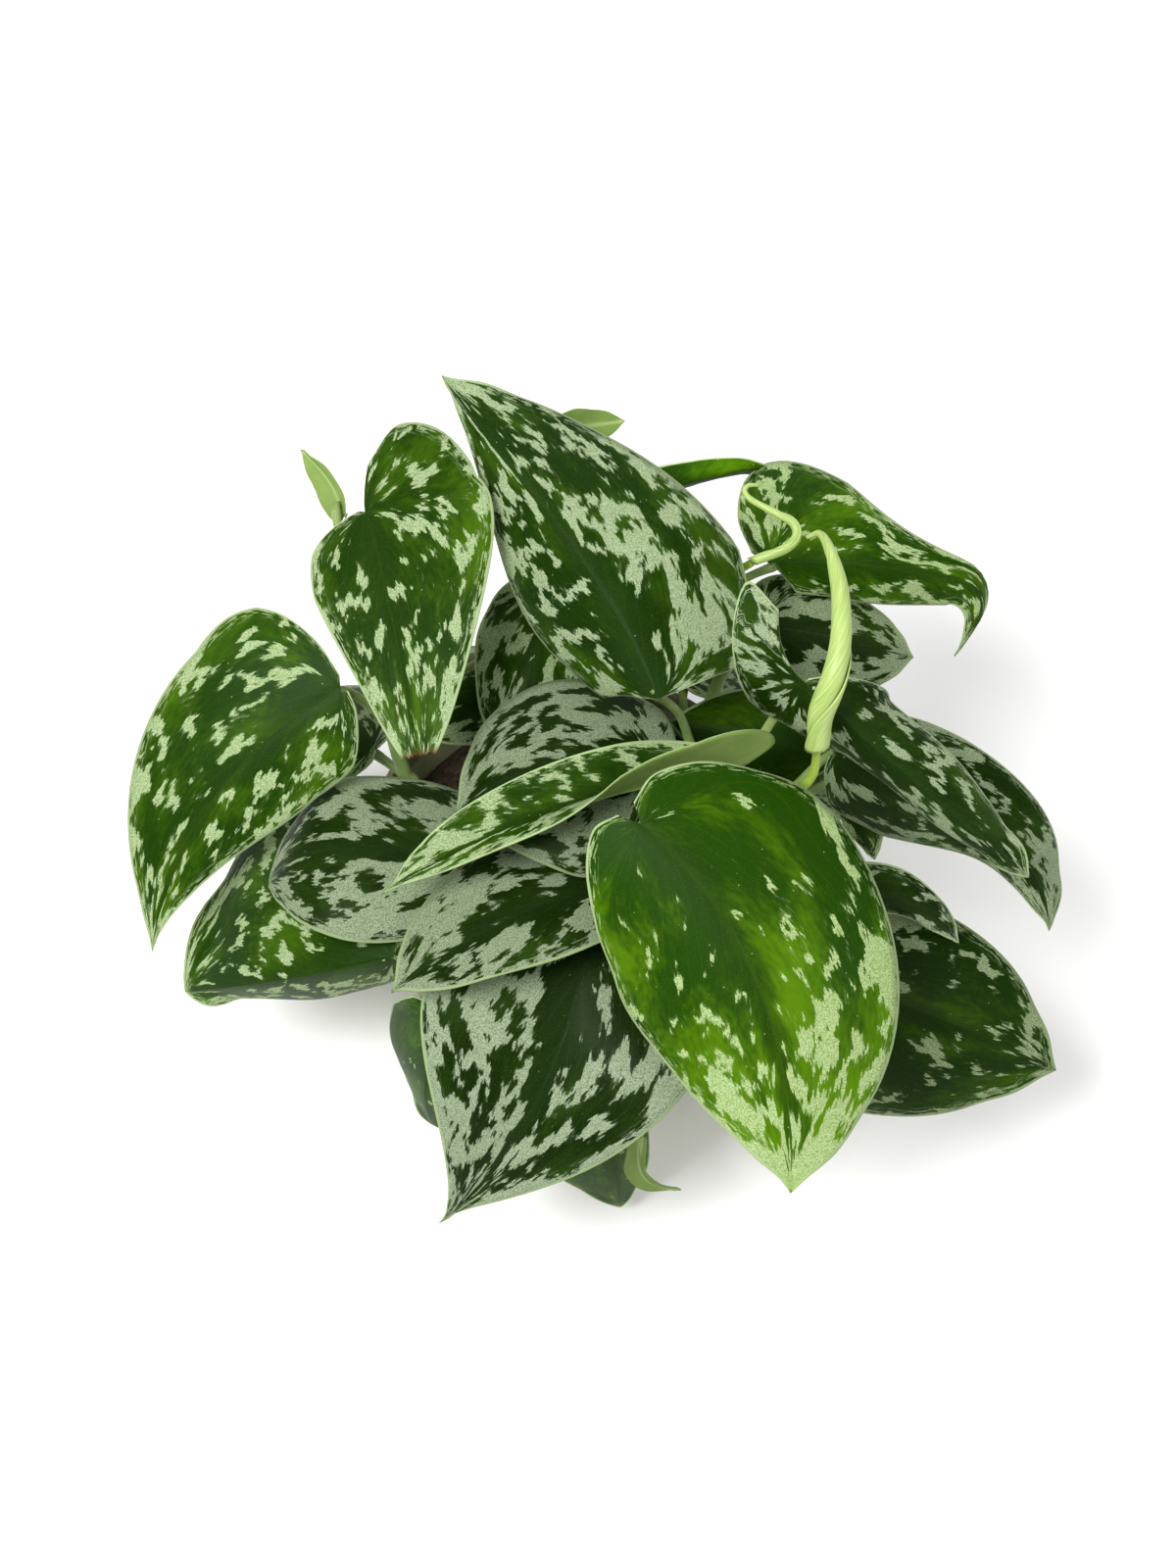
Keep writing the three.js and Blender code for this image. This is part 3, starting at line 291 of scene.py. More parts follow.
# The two leaves that are still rolled: the radius and the line of each roll.
ROLLED_LEAVES = {
    "new_leaf_1": dict(radius=4.1, line=[(63, -6, 164), (63, -3, 173), (66, 2, 183), (68, 11, 188),
                                         (68, 25, 190), (66, 38, 188), (64, 45, 185), (61, 46, 182)]),
    "new_leaf_2": dict(radius=1.4, line=[(50, 63, 147), (58, 65, 150), (61, 67, 153), (60, 70, 155),
                                         (55, 73, 156), (49, 77, 156), (47, 80, 156), (48, 82, 156),
                                         (51, 83, 155)]),
}
ROLL_STEPS = 8
ROLL_COLUMNS = 40
ROLL_TIP = 0.45  # radius that is left at the tip
ROLL_FOOT = 0.75  # radius at the foot, as a share of the whole
ROLL_SWELL = 5  # the radius is full after 1 / ROLL_SWELL of the length
ROLL_TAPER = 0.7
ROLL_TURNS = 1.3
ROLL_STEP = 0.3  # how much further in the inner edge lies than the free one
ROLL_START = math.radians(180)
ROLL_TWIST = math.radians(480)
ROLL_THICKNESS = 0.45
ROLL_THIN = 0.25  # most of its radius that a roll is thick
ROLL_UPRIGHT = 0.1  # a roll that starts closer to upright takes its first side from x, not z
ROLL_LIP = 2.2
LIP_ROUND = 3  # how fast the lip fades round the roll
LIP_ALONG = 12  # and along it


# ---- numbers ----

def unit(v):
    return v / np.maximum(np.linalg.norm(v, axis=-1, keepdims=True), 1e-12)


def dot(a, b):
    return np.sum(a * b, axis=-1, keepdims=True)


def square_to(v, n):
    """The part of v that is square to the unit vectors n, at unit length."""
    return unit(v - n * dot(v, n))


def smooth(low, high, x):
    t = np.clip((x - low) / (high - low), 0, 1)
    return t * t * (3 - 2 * t)


def between(ends, share):
    return ends[0] + (ends[1] - ends[0]) * share


def both(value):
    """A value for each of two halves or handles, where one number stands for both."""
    return value if isinstance(value, tuple) else (value, value)


def lengths_along(points):
    """How far along a line each of its points lies."""
    steps = np.linalg.norm(np.diff(points, axis=0), axis=1)
    return np.append(0, np.cumsum(steps))


def outline_at(vein, column):
    """Smooth value of one column of OUTLINE at vein labels."""
    veins = OUTLINE[:, 0]
    values = OUTLINE[:, column]
    slopes = np.empty(len(veins))
    slopes[1:-1] = (values[2:] - values[:-2]) / (veins[2:] - veins[:-2])
    slopes[0] = (values[1] - values[0]) / (veins[1] - veins[0])
    slopes[-1] = (values[-1] - values[-2]) / (veins[-1] - veins[-2])
    i = np.clip(np.searchsorted(veins, vein, side="right") - 1, 0, len(veins) - 2)
    step = veins[i + 1] - veins[i]
    t = (vein - veins[i]) / step
    return ((2 * t**3 - 3 * t**2 + 1) * values[i] + (t**3 - 2 * t**2 + t) * slopes[i] * step
            + (3 * t**2 - 2 * t**3) * values[i + 1] + (t**3 - t**2) * slopes[i + 1] * step)


def smooth_line(points, steps):
    """Points along a smooth line through the given ones."""
    p = np.array(points, float)
    p = np.vstack([2 * p[0] - p[1], p, 2 * p[-1] - p[-2]])
    line = []
    for i in range(1, len(p) - 2):
        for t in np.arange(steps) / steps:
            bow = (2 * p[i - 1] - 5 * p[i] + 4 * p[i + 1] - p[i + 2]) * t
            bow = bow + (3 * p[i] - p[i - 1] - 3 * p[i + 1] + p[i + 2]) * t * t
            line.append(0.5 * (2 * p[i] + (p[i + 1] - p[i - 1] + bow) * t))
    line.append(p[-2])
    return np.array(line)


def bezier(handles, x):
    x = np.asarray(x, float)[..., None]
    a, b, c, d = handles
    return (1 - x)**3 * a + 3 * (1 - x)**2 * x * b + 3 * (1 - x) * x * x * c + x**3 * d


def turned(v, axle, angle):
    """v turned about unit vectors axle by angles."""
    c = np.cos(angle)[..., None]
    s = np.sin(angle)[..., None]
    return v * c + np.cross(axle, v) * s + axle * dot(axle, v) * (1 - c)


# ---- blades: the same surface as in the frame, at a finer step ----

class Midrib:
    """The midrib of a blade: its points and its frames (along, across, up) at shares x of its length."""

    def __init__(self, blade):
        base = np.array(blade["base"], float)
        tip = np.array(blade["tip"], float)
        self.length = np.linalg.norm(tip - base)
        chord = unit(tip - base)
        self.side = square_to(np.subtract(blade["right"], blade["left"]).astype(float), chord)
        up = np.cross(self.side, chord)
        handles = []
        for share, arch, bend in zip(HANDLES, both(blade.get("arch", ARCH)), both(blade.get("bend", 0))):
            handles.append(base + self.length * (share * chord + arch * up + bend * self.side))
        self.handles = [base, *handles, tip]
        self.nod = blade.get("nod")

    def speed(self, x):
        x = np.clip(x, 0, 1)[..., None]
        a, b, c, d = self.handles
        return 3 * (1 - x)**2 * (b - a) + 6 * (1 - x) * x * (c - b) + 3 * x * x * (d - c)

    def plain_frame(self, x):
        along = unit(self.speed(x))
        across = square_to(self.side, along)
        return along, across, np.cross(across, along)

    def plain_point(self, x):
        behind = self.handles[0] + self.speed(np.zeros_like(x)) * x[..., None]
        return np.where(x[..., None] < 0, behind, bezier(self.handles, np.clip(x, 0, 1)))

    def nod_parts(self):
        start, angle, span, skew = self.nod
        x = np.array(float(start))
        along, across, up = self.plain_frame(x)
        skew = math.radians(skew)
        down = -up * math.cos(skew) - across * math.sin(skew)
        return start, math.radians(angle), span, x, along, across, down

    def point(self, x):
        plain = self.plain_point(x)
        if not self.nod:
            return plain
        start, angle, span, hinge, along, _, down = self.nod_parts()
        pace = np.linalg.norm(self.speed(hinge))
        a = (angle * np.clip(x - start, 0, span) / span)[..., None]
        rest = np.maximum(0, x - start - span)[..., None] * pace
        radius = span * pace / angle
        nodded = (self.plain_point(hinge) + along * (radius * np.sin(a) + rest * np.cos(a))
                  + down * (radius * (1 - np.cos(a)) + rest * np.sin(a)))
        return np.where(x[..., None] > start, nodded, plain)

    def frame(self, x):
        plain = self.plain_frame(x)
        if not self.nod:
            return plain
        start, angle, span, _, along, across, down = self.nod_parts()
        axle = np.cross(along, down)
        a = angle * np.clip(x - start, 0, span) / span
        along = turned(along, axle, a)
        across = turned(across, axle, a)
        nodded = (along, across, np.cross(across, along))
        return tuple(np.where(x[..., None] > start, n, p) for n, p in zip(nodded, plain))


class Half:
    """One half of a blade: its half width, its angle at WIDEST and its own settings."""

    def __init__(self, blade, midrib, index):
        edge = np.array(blade["right" if index == 0 else "left"], float)
        x = np.array(WIDEST)
        along, across, up = midrib.frame(x)
        reach = edge - midrib.point(x)
        reach = reach - along * np.dot(reach, along)
        self.sign = 1 if index == 0 else -1
        self.width = np.linalg.norm(reach)
        self.angle = math.atan2(np.dot(reach, up), self.sign * np.dot(reach, across))
        for setting, usual in USUAL_HALF.items():
            value = both(blade.get(setting, usual))[index]
            setattr(self, setting, math.radians(value) if setting in IN_DEGREES else value)


def flat_place(half, vein, f):
    """Share along the midrib and share of the half width of blade points, as if laid flat."""
    rise = outline_at(vein, RISE)
    across = outline_at(vein, ACROSS)
    along = outline_at(vein, ALONG)
    along = np.where(along < 0, along * half.lobe, along)
    along = along + half.sweep * across * np.clip((WIDEST - along) / WIDEST, 0, 1)
    x = rise + (along - rise) * np.where(along > rise, f**VEIN_BOW, f)
    behind = np.clip((WIDEST - along) / WIDEST, 0, MOST_FLARE)
    ahead = np.clip((along - WIDEST) / (1 - WIDEST), 0, 1)
    narrowing = (1 - half.taper * np.maximum(0, along)) / (1 - half.taper * WIDEST)
    filling = (1 + half.flare * behind) * (1 + 4 * half.full * ahead * (1 - ahead))
    least = LEAST_HALF / half.width * np.clip((1 - vein) / TIP_SPAN, 0, 1)
    edge = np.maximum(across * narrowing * filling, least)
    return x, f * (edge - half.lean * np.maximum(0, -x))


def half_points(midrib, half, vein, f):
    """The points of one half of a blade, and their flat places."""
    x, y = flat_place(half, vein, f)
    hooded = half.hood * np.maximum(0, (WIDEST - x) / WIDEST)
    fold = half.angle + half.turn * np.maximum(0, x - WIDEST) - hooded
    fold = fold * np.clip((1 - x) / LEVEL_FROM, 0, 1)
    if abs(half.droop) > FLAT:
        first = fold + half.droop / 2
        out = (np.sin(first) - np.sin(first - half.droop * y)) / half.droop
        lift = (np.cos(first - half.droop * y) - np.cos(first)) / half.droop
    else:
        out = y * np.cos(fold)
        lift = y * np.sin(fold)
    _, across, up = midrib.frame(x)
    points = (midrib.point(x) + across * (half.sign * half.width * out)[..., None]
              + up * (half.width * lift)[..., None])
    return points, x, y


def blade_rows(blade, shares, rng):
    """Vein labels of the grid, rows by columns. A torn blade ends raggedly at its cut."""
    veins = []
    for low, high in zip(OUTLINE[:-1, 0], OUTLINE[1:, 0]):
        veins.extend(np.linspace(low, high, ROWS_PER_SPAN, endpoint=False))
    rows = np.append(veins, 1.0)[:, None] * np.ones(len(shares))
    if "cut" in blade:
        rows = rows * (between(blade["cut"], shares**2) - RAGGED * rng.random(len(shares)))
    return rows


def blade_grid(blade, rng):
    """The middle surface of a blade as a grid, with what its material needs to know of each point."""
    midrib = Midrib(blade)
    halves = [Half(blade, midrib, 0), Half(blade, midrib, 1)]
    shares = np.arange(-HALF_COLUMNS, HALF_COLUMNS + 1) / HALF_COLUMNS
    shares = np.sign(shares) * np.abs(shares)**COLUMN_POWER
    veins = blade_rows(blade, shares, rng)
    f = np.abs(shares) * np.ones_like(veins)
    right = half_points(midrib, halves[0], veins, f)
    left = half_points(midrib, halves[1], veins, f)
    on_right = shares >= 0
    points = np.where(on_right[None, :, None], right[0], left[0])
    x = np.where(on_right, right[1], left[1])
    y = np.where(on_right, right[2] * halves[0].width, left[2] * halves[1].width)
    return dict(points=points, x=x, y=y, f=f, veins=veins, on_right=on_right, length=midrib.length,
                widest=np.where(on_right, halves[0].width, halves[1].width))


# The fine veins: they leave the base as a fan, and from BLEND_SPAN beyond WIDEST follow the edges.
VEIN_ANGLE = math.radians(20)
FAN_RADIUS = 20
FAN_FROM = math.radians(35)
FAN_TO = math.radians(85)
BLEND_SPAN = 0.2
LEFT_HALF = 500  # added to the left half's places, so that its noises differ from the right half's


def vein_coordinates(grid):
    """Distances in mm along and across the fine veins."""
    along = grid["x"] * grid["length"]
    blend = smooth(WIDEST, WIDEST + BLEND_SPAN, grid["x"])
    spread = grid["y"] * (1 - blend) + grid["f"] * grid["widest"] * blend
    radius = np.hypot(along, spread)
    angle = np.arctan2(spread, along)
    sweep = radius * np.sin(angle - VEIN_ANGLE)
    fan = FAN_RADIUS * (angle - FAN_FROM) + FAN_RADIUS * math.sin(FAN_FROM - VEIN_ANGLE)
    share = smooth(FAN_FROM, FAN_TO, angle)
    across = sweep * (1 - share) + fan * share
    return radius, across + np.where(grid["on_right"], 0, LEFT_HALF)


def edge_coordinates(grid):
    """Distances in mm to the margin, along it and to the midrib."""
    steps = np.linalg.norm(np.diff(grid["points"], axis=1), axis=2)
    travel = np.hstack([np.zeros((len(steps), 1)), np.cumsum(steps, axis=1)])
    middle = travel[:, HALF_COLUMNS:HALF_COLUMNS + 1]
    to_edge = np.where(grid["on_right"], travel[:, -1:] - travel, travel)
    rim = np.where(grid["on_right"][None, :, None], grid["points"][:, -1:], grid["points"][:, :1])
    rim_steps = np.linalg.norm(np.diff(rim, axis=0), axis=2)
    along_rim = np.vstack([np.zeros((1, rim.shape[1])), np.cumsum(rim_steps, axis=0)])
    return to_edge, along_rim, np.abs(travel - middle)


# ---- meshes ----

def grid_normals(points):
    across = np.gradient(points, axis=1)
    along = np.gradient(points, axis=0)
    normals = unit(np.cross(across, along))
    normals[-1] = normals[-2]
    return normals


def skin_faces(rows, columns, pointed):
    """Faces of a closed thin body on a grid: its upper side, its under side and its rim."""
    last = rows - 1
    index = np.arange(rows * columns).reshape(rows, columns)
    if pointed:
        index[last] = last * columns
    count = last * columns + (1 if pointed else columns)
    upper = []
    for i in range(last):
        for j in range(columns - 1):
            a, b, c, d = index[i, j], index[i, j + 1], index[i + 1, j + 1], index[i + 1, j]
            upper.append((a, b, c) if c == d else (a, b, c, d))
    under = [tuple(int(v) + count for v in reversed(face)) for face in upper]
    border = list(index[0]) + list(index[1:, -1])
    border += ([] if pointed else list(index[last, -2::-1])) + list(index[last - 1:0:-1, 0])
    rim = []
    for here, ahead in zip(border, border[1:] + border[:1]):
        if here != ahead:
            rim.append((ahead, here, here + count, ahead + count))
    return [tuple(int(v) for v in face) for face in upper + under + rim]


def skin_values(grid, pointed):
    """A grid of values as a list of one value a vertex, with one vertex for a pointed end."""
    flat = grid.reshape(-1, *grid.shape[2:])
    return flat[:len(flat) - grid.shape[1] + 1] if pointed else flat


def ring_faces(rings, sides):
    """Faces of a closed body: its first point, its rings in order and its last point."""
    faces = []
    low = 1 + (rings - 1) * sides
    for j in range(sides):
        k = (j + 1) % sides
        faces.append((0, 1 + k, 1 + j))
        for a in range(1, low, sides):
            b = a + sides
            faces.append((a + j, a + k, b + k, b + j))
        faces.append((low + j, low + k, low + sides))
    return faces


def make_object(name, points, faces, material, smooth_shading=True):
    mesh = bpy.data.meshes.new(name)
    mesh.from_pydata((np.asarray(points) * MM).tolist(), [], faces)
    mesh.validate()
    mesh.materials.append(material)
    if smooth_shading:
        mesh.shade_smooth()
    piece = bpy.data.objects.new(name, mesh)
    bpy.context.scene.collection.objects.link(piece)
    return piece


def give_vectors(piece, name, values):
    attribute = piece.data.attributes.new(name, "FLOAT_VECTOR", "POINT")
    attribute.data.foreach_set("vector", np.ascontiguousarray(values, np.float32).ravel())


def tube(points, radii, sides):
    """Points and faces of a closed tube along a line."""
    points = np.asarray(points, float)
    ahead = np.vstack([points[1:], points[-1:]])
    behind = np.vstack([points[:1], points[:-1]])
    directions = unit(ahead - behind)
    first = np.array([0.0, 0, 1]) if abs(directions[0][2]) < STEEP else np.array([1.0, 0, 0])
    u = np.cross(directions[0], first)
    angles = 2 * np.pi * np.arange(sides) / sides
    corners = [points[:1]]
    for point, direction, radius in zip(points, directions, radii):
        u = square_to(u, direction)
        v = np.cross(direction, u)
        corners.append(point + radius * (np.cos(angles)[:, None] * u + np.sin(angles)[:, None] * v))
    return np.vstack([*corners, points[-1:]]), ring_faces(len(points), sides)


def joined(parts):
    """Several (points, faces) as one."""
    points = []
    faces = []
    count = 0
    for part_points, part_faces in parts:
        points.append(part_points)
        faces.extend(tuple(v + count for v in face) for face in part_faces)
        count += len(part_points)
    return np.vstack(points), faces


# ---- materials ----

# Screen colours in the studio's light, but the floor's are its own. The pairs of a blade's upper side
# are for tone 0 and tone 1, and all other pairs are the ends of a noise.
DEEP_GREEN = ((16, 38, 0), (30, 68, 0))
FRESH_GREEN = ((38, 64, 10), (86, 130, 0))
# the plain green beside the midrib, made bluish at tone 0 as a painted sheen
MIDRIB_GREEN_AND_SHEEN = ((28, 50, 16), (30, 60, 0))
SILVER_DARK = ((114, 134, 96), (126, 156, 74))
SILVER_LIGHT = ((172, 187, 156), (184, 206, 146))
TIP_PALE = ((132, 160, 110), (150, 186, 88))
GRAIN_GREEN = (88, 112, 40)
VEIN_GREEN = (84, 114, 24)
MARGIN_PALE = (172, 196, 140)
# painted glints: the pale of tiny specks that stand in for the sparkle of the upper side
PAINTED_GLINT_PALE = (204, 214, 190)
UNDER_GREEN = ((112, 142, 68), (150, 176, 96))
UNDER_MIDRIB = (176, 198, 128)
DRIED_BROWN = ((58, 40, 22), (128, 92, 48))
YOUNG_GREEN = ((150, 182, 84), (198, 220, 132))
YOUNG_CLOUD = (178, 206, 116)
STEM_GREEN = ((112, 140, 70), (160, 184, 104))
STEM_SPECK = (188, 202, 140)
SHOOT_GREEN = ((146, 178, 40), (182, 206, 80))
POT_KHAKI = ((158, 156, 120), (178, 178, 140))
POT_SPECK = (196, 196, 164)
POT_SCUFF = (128, 122, 88)
MIX_BROWN = ((34, 25, 18), (82, 62, 44))
MIX_SPECK = (108, 86, 62)
FLOOR_PALE = ((244, 244, 243), (248, 248, 247))


def linear(red, green, blue):
    """A colour given as 0-255 screen values, as the linear colour of a shader."""
    channels = [v / 255 for v in (red, green, blue)]
    return tuple(c / 12.92 if c <= 0.04045 else ((c + 0.055) / 1.055)**2.4 for c in channels) + (1,)


def paint(red, green, blue):
    """The linear colour of a surface that is to look like these screen values in this light."""
    return tuple(c / STUDIO_GAIN for c in linear(red, green, blue)[:3]) + (1,)


class Shading:
    """A node material in the making."""

    def __init__(self, name):
        self.material = bpy.data.materials.new(name)
        self.material.use_nodes = True
        self.nodes = self.material.node_tree.nodes
        self.links = self.material.node_tree.links
        self.shader = self.nodes["Principled BSDF"]

    def feed(self, socket, value):
        if isinstance(value, bpy.types.NodeSocket):
            self.links.new(value, socket)
        elif value is not None:
            socket.default_value = value

    def node(self, kind, inputs=(), output=0, **settings):
        made = self.nodes.new(kind)
        for key, value in settings.items():
            setattr(made, key, value)
        pairs = inputs.items() if isinstance(inputs, dict) else enumerate(inputs)
        for key, value in pairs:
            self.feed(made.inputs[key], value)
        return made.outputs[output]

    def math(self, operation, a, b=None):
        return self.node("ShaderNodeMath", (a, b), operation=operation)

    def add(self, a, b):
        return self.math("ADD", a, b)

    def less(self, a, b):
        return self.math("SUBTRACT", a, b)

    def times(self, a, b):
        return self.math("MULTIPLY", a, b)

    def swing(self, value, size):
        """A value of about 0 to 1 as a push of that size to either side."""
        return self.times(self.less(value, 0.5), size)

    def map(self, value, low, high, to_low=0.0, to_high=1.0, kind="SMOOTHSTEP"):
        return self.node("ShaderNodeMapRange", (value, low, high, to_low, to_high),
                         interpolation_type=kind)

    def even(self, value, low, high):
        """Evenly from low to high as a value goes from 0 to 1."""
        return self.map(value, 0.0, 1.0, low, high, kind="LINEAR")

    def mix(self, share, a, b):
        return self.node("ShaderNodeMix", {0: share, 6: a, 7: b}, output=2, data_type="RGBA")

    def tint(self, share, pair):
        """Between the two screen colours of a pair."""
        return self.mix(share, paint(*pair[0]), paint(*pair[1]))

    def noise(self, vector, scale=1.0, detail=2.0, roughness=0.5):
        inputs = {"Vector": vector, "Scale": scale, "Detail": detail, "Roughness": roughness}
        return self.node("ShaderNodeTexNoise", inputs)

    def veined(self, along, across, per_along, per_across, seed, **look):
        """Noise stretched along the veins: how many of its cells lie in a mm along and across them."""
        place = self.vector(self.times(along, per_along), self.times(across, per_across), seed)
        return self.noise(place, **look)

    def random(self, value):
        return self.node("ShaderNodeTexWhiteNoise", {"W": value}, noise_dimensions="1D")

    def vector(self, x, y, z=0.0):
        return self.node("ShaderNodeCombineXYZ", (x, y, z))

    def attribute(self, name):
        whole = self.node("ShaderNodeAttribute", attribute_name=name, output=1)
        split = self.nodes.new("ShaderNodeSeparateXYZ")
        self.links.new(whole, split.inputs[0])
        return split.outputs[0], split.outputs[1], split.outputs[2]

    def place(self):
        return self.node("ShaderNodeTexCoord", output=3)

    def bump(self, height, strength, distance):
        inputs = {"Height": height, "Strength": strength, "Distance": distance}
        return self.node("ShaderNodeBump", inputs)

    def finish(self, color, roughness, normal=None, specular=None):
        sockets = {"Base Color": color, "Roughness": roughness, "Normal": normal,
                   "Specular IOR Level": specular}
        for name, value in sockets.items():
            self.feed(self.shader.inputs[name], value)
        return self.material


# Silver patches: strips that shift the pattern along the veins in small blocks, then three noises
# over both ways. Blocks and noise cells are in mm, and the sizes in parts of the field.
STRIPS = ((0.6, 2.2, 1.6, 1), (0.3, 3.0, 0.8, 3.7))  # width, waviness, shift along, seed's factor
WANDER_ALONG = 0.12  # cells per mm of the noise that makes the strips wavy
WANDER_ACROSS = 0.25
BLOCK = 1.1
BLOCK_SHARE = 0.6
PATCH_ALONG = 7.5
PATCH_ACROSS = 5
ISLE_ALONG = 2.8
ISLE_ACROSS = 1.6
ISLE_SIZE = 0.42
DRIFT_ALONG = 26
DRIFT_ACROSS = 15
DRIFT_SIZE = 0.28
PATCH_EDGE = 0.008  # how soft a patch's border is

# The level that the patches' field must pass. The sizes below are added to it, in the field's units.
LEVELS = (0.69, 0.35)  # for no silver and for all silver
BARE_COVER = 0.04  # a cover under this leaves a blade without patches
BARE_SIZE = 0.4
MIDRIB_SIZE = 0.3
MIDRIB_BAND = (7.0, 1.0)  # mm of green beside the midrib, at the base and at the tip
MIDRIB_EDGE = (0.3, 1.3)  # where that green ends, in band widths
MIDRIB_UNEVEN = 9.0
TIP_FROM_TO = (0.84, 0.99)
TIP_SIZES = (-0.05, -0.4)  # for tipward 0 and tipward MOST_TIPWARD
MOST_TIPWARD = 0.3
TIPWARD_MIDDLE = 0.45
EDGE_BAND = 5.0
EDGE_SIZE = -0.03
HAZE_BELOW = 0.07  # how far under its level the field shows faint streaks
HAZE = 0.4

# The margin, in mm.
MARGIN_LEAST = 0.25
MARGIN_WAVE = 0.9
MARGIN_SOFT = (-0.15, 0.25)
DASHES_WITHIN = (1.2, 4.5)


def silver_field(s, along, across, seed):
    """How silver the upper side is, before a leaf's own level: the field, and its broad part."""
    wander = s.veined(along, across, WANDER_ALONG, WANDER_ACROSS, seed, detail=1.0)
    shifts = []
    for width, waviness, shift, factor in STRIPS:
        strip = s.math("FLOOR", s.add(s.times(across, 1 / width), s.times(wander, waviness)))
        shifts.append(s.swing(s.random(s.add(strip, s.times(seed, factor))), shift))
    shifted = s.add(along, s.add(*shifts))
    blocks = s.math("FLOOR", s.times(shifted, 1 / BLOCK))
    shifted = s.add(s.times(shifted, 1 - BLOCK_SHARE), s.times(blocks, BLOCK * BLOCK_SHARE))
    patch = s.veined(shifted, across, 1 / PATCH_ALONG, 1 / PATCH_ACROSS, seed, detail=1.2)
    isle = s.veined(shifted, across, 1 / ISLE_ALONG, 1 / ISLE_ACROSS, seed, detail=1.0)
    drift = s.veined(along, across, 1 / DRIFT_ALONG, 1 / DRIFT_ACROSS, seed, detail=0.0)
    return s.add(s.add(patch, s.swing(isle, ISLE_SIZE)), s.swing(drift, DRIFT_SIZE)), patch


def silver_level(s, share, to_edge, near_midrib, cover, tipward):
    """The level that the field must pass to be silver."""
    level = s.even(cover, *LEVELS)
    level = s.add(level, s.map(cover, 0.0, BARE_COVER, BARE_SIZE, 0.0))
    level = s.add(level, s.times(near_midrib, MIDRIB_SIZE))
    tip_size = s.map(tipward, 0.0, MOST_TIPWARD, *TIP_SIZES, kind="LINEAR")
    level = s.add(level, s.times(s.map(share, *TIP_FROM_TO), tip_size))
    level = s.add(level, s.times(s.map(to_edge, 0.0, EDGE_BAND, 1.0, 0.0), EDGE_SIZE))
    return s.add(level, s.times(s.less(TIPWARD_MIDDLE, share), tipward))


def leaf_greens(s, along, across, seed, share, near_midrib, vein_lines, grain, tone, tipward):
    """The green of the upper side."""
    cloud = s.veined(along, across, 0.04, 0.07, seed)
    mottle = s.veined(along, across, 0.35, 0.8, seed, detail=3.0)
    cloud = s.add(cloud, s.times(s.less(share, 0.3), tipward))
    cloud = s.add(cloud, s.swing(mottle, 0.35))
    green = s.mix(s.map(cloud, 0.36, 0.82), s.tint(tone, DEEP_GREEN), s.tint(tone, FRESH_GREEN))
    # The plain green band beside the midrib, partly a painted sheen: bluish where the tone is low.
    green = s.mix(s.times(near_midrib, 0.7), green, s.tint(tone, MIDRIB_GREEN_AND_SHEEN))
    green = s.mix(s.map(grain, 0.5, 0.75, 0.0, 0.2), green, paint(*GRAIN_GREEN))
    return s.mix(s.map(vein_lines, 0.0, 0.16, 0.1, 0.0), green, paint(*VEIN_GREEN))


def leaf_margin(s, to_edge, along_edge, seed):
    """The pale margin, and the fine dashes beside it."""
    wobble = s.noise(s.vector(s.times(along_edge, 0.15), 0.0, seed), detail=1.0)
    width = s.add(MARGIN_LEAST, s.times(wobble, MARGIN_WAVE))
    margin = s.map(s.less(to_edge, width), *MARGIN_SOFT, 1.0, 0.0)
    dash = s.veined(along_edge, to_edge, 0.28, 1.7, seed, detail=1.0)
    return margin, s.times(s.map(dash, 0.53, 0.57), s.map(to_edge, *DASHES_WITHIN, 0.85, 0.0))


def leaf_under(s, object_place, off_midrib):
    """The under side."""
    lower = s.tint(s.noise(object_place, scale=160, detail=3.0), UNDER_GREEN)
    return s.mix(s.map(off_midrib, 0.5, 1.6, 0.8, 0.0), lower, paint(*UNDER_MIDRIB))


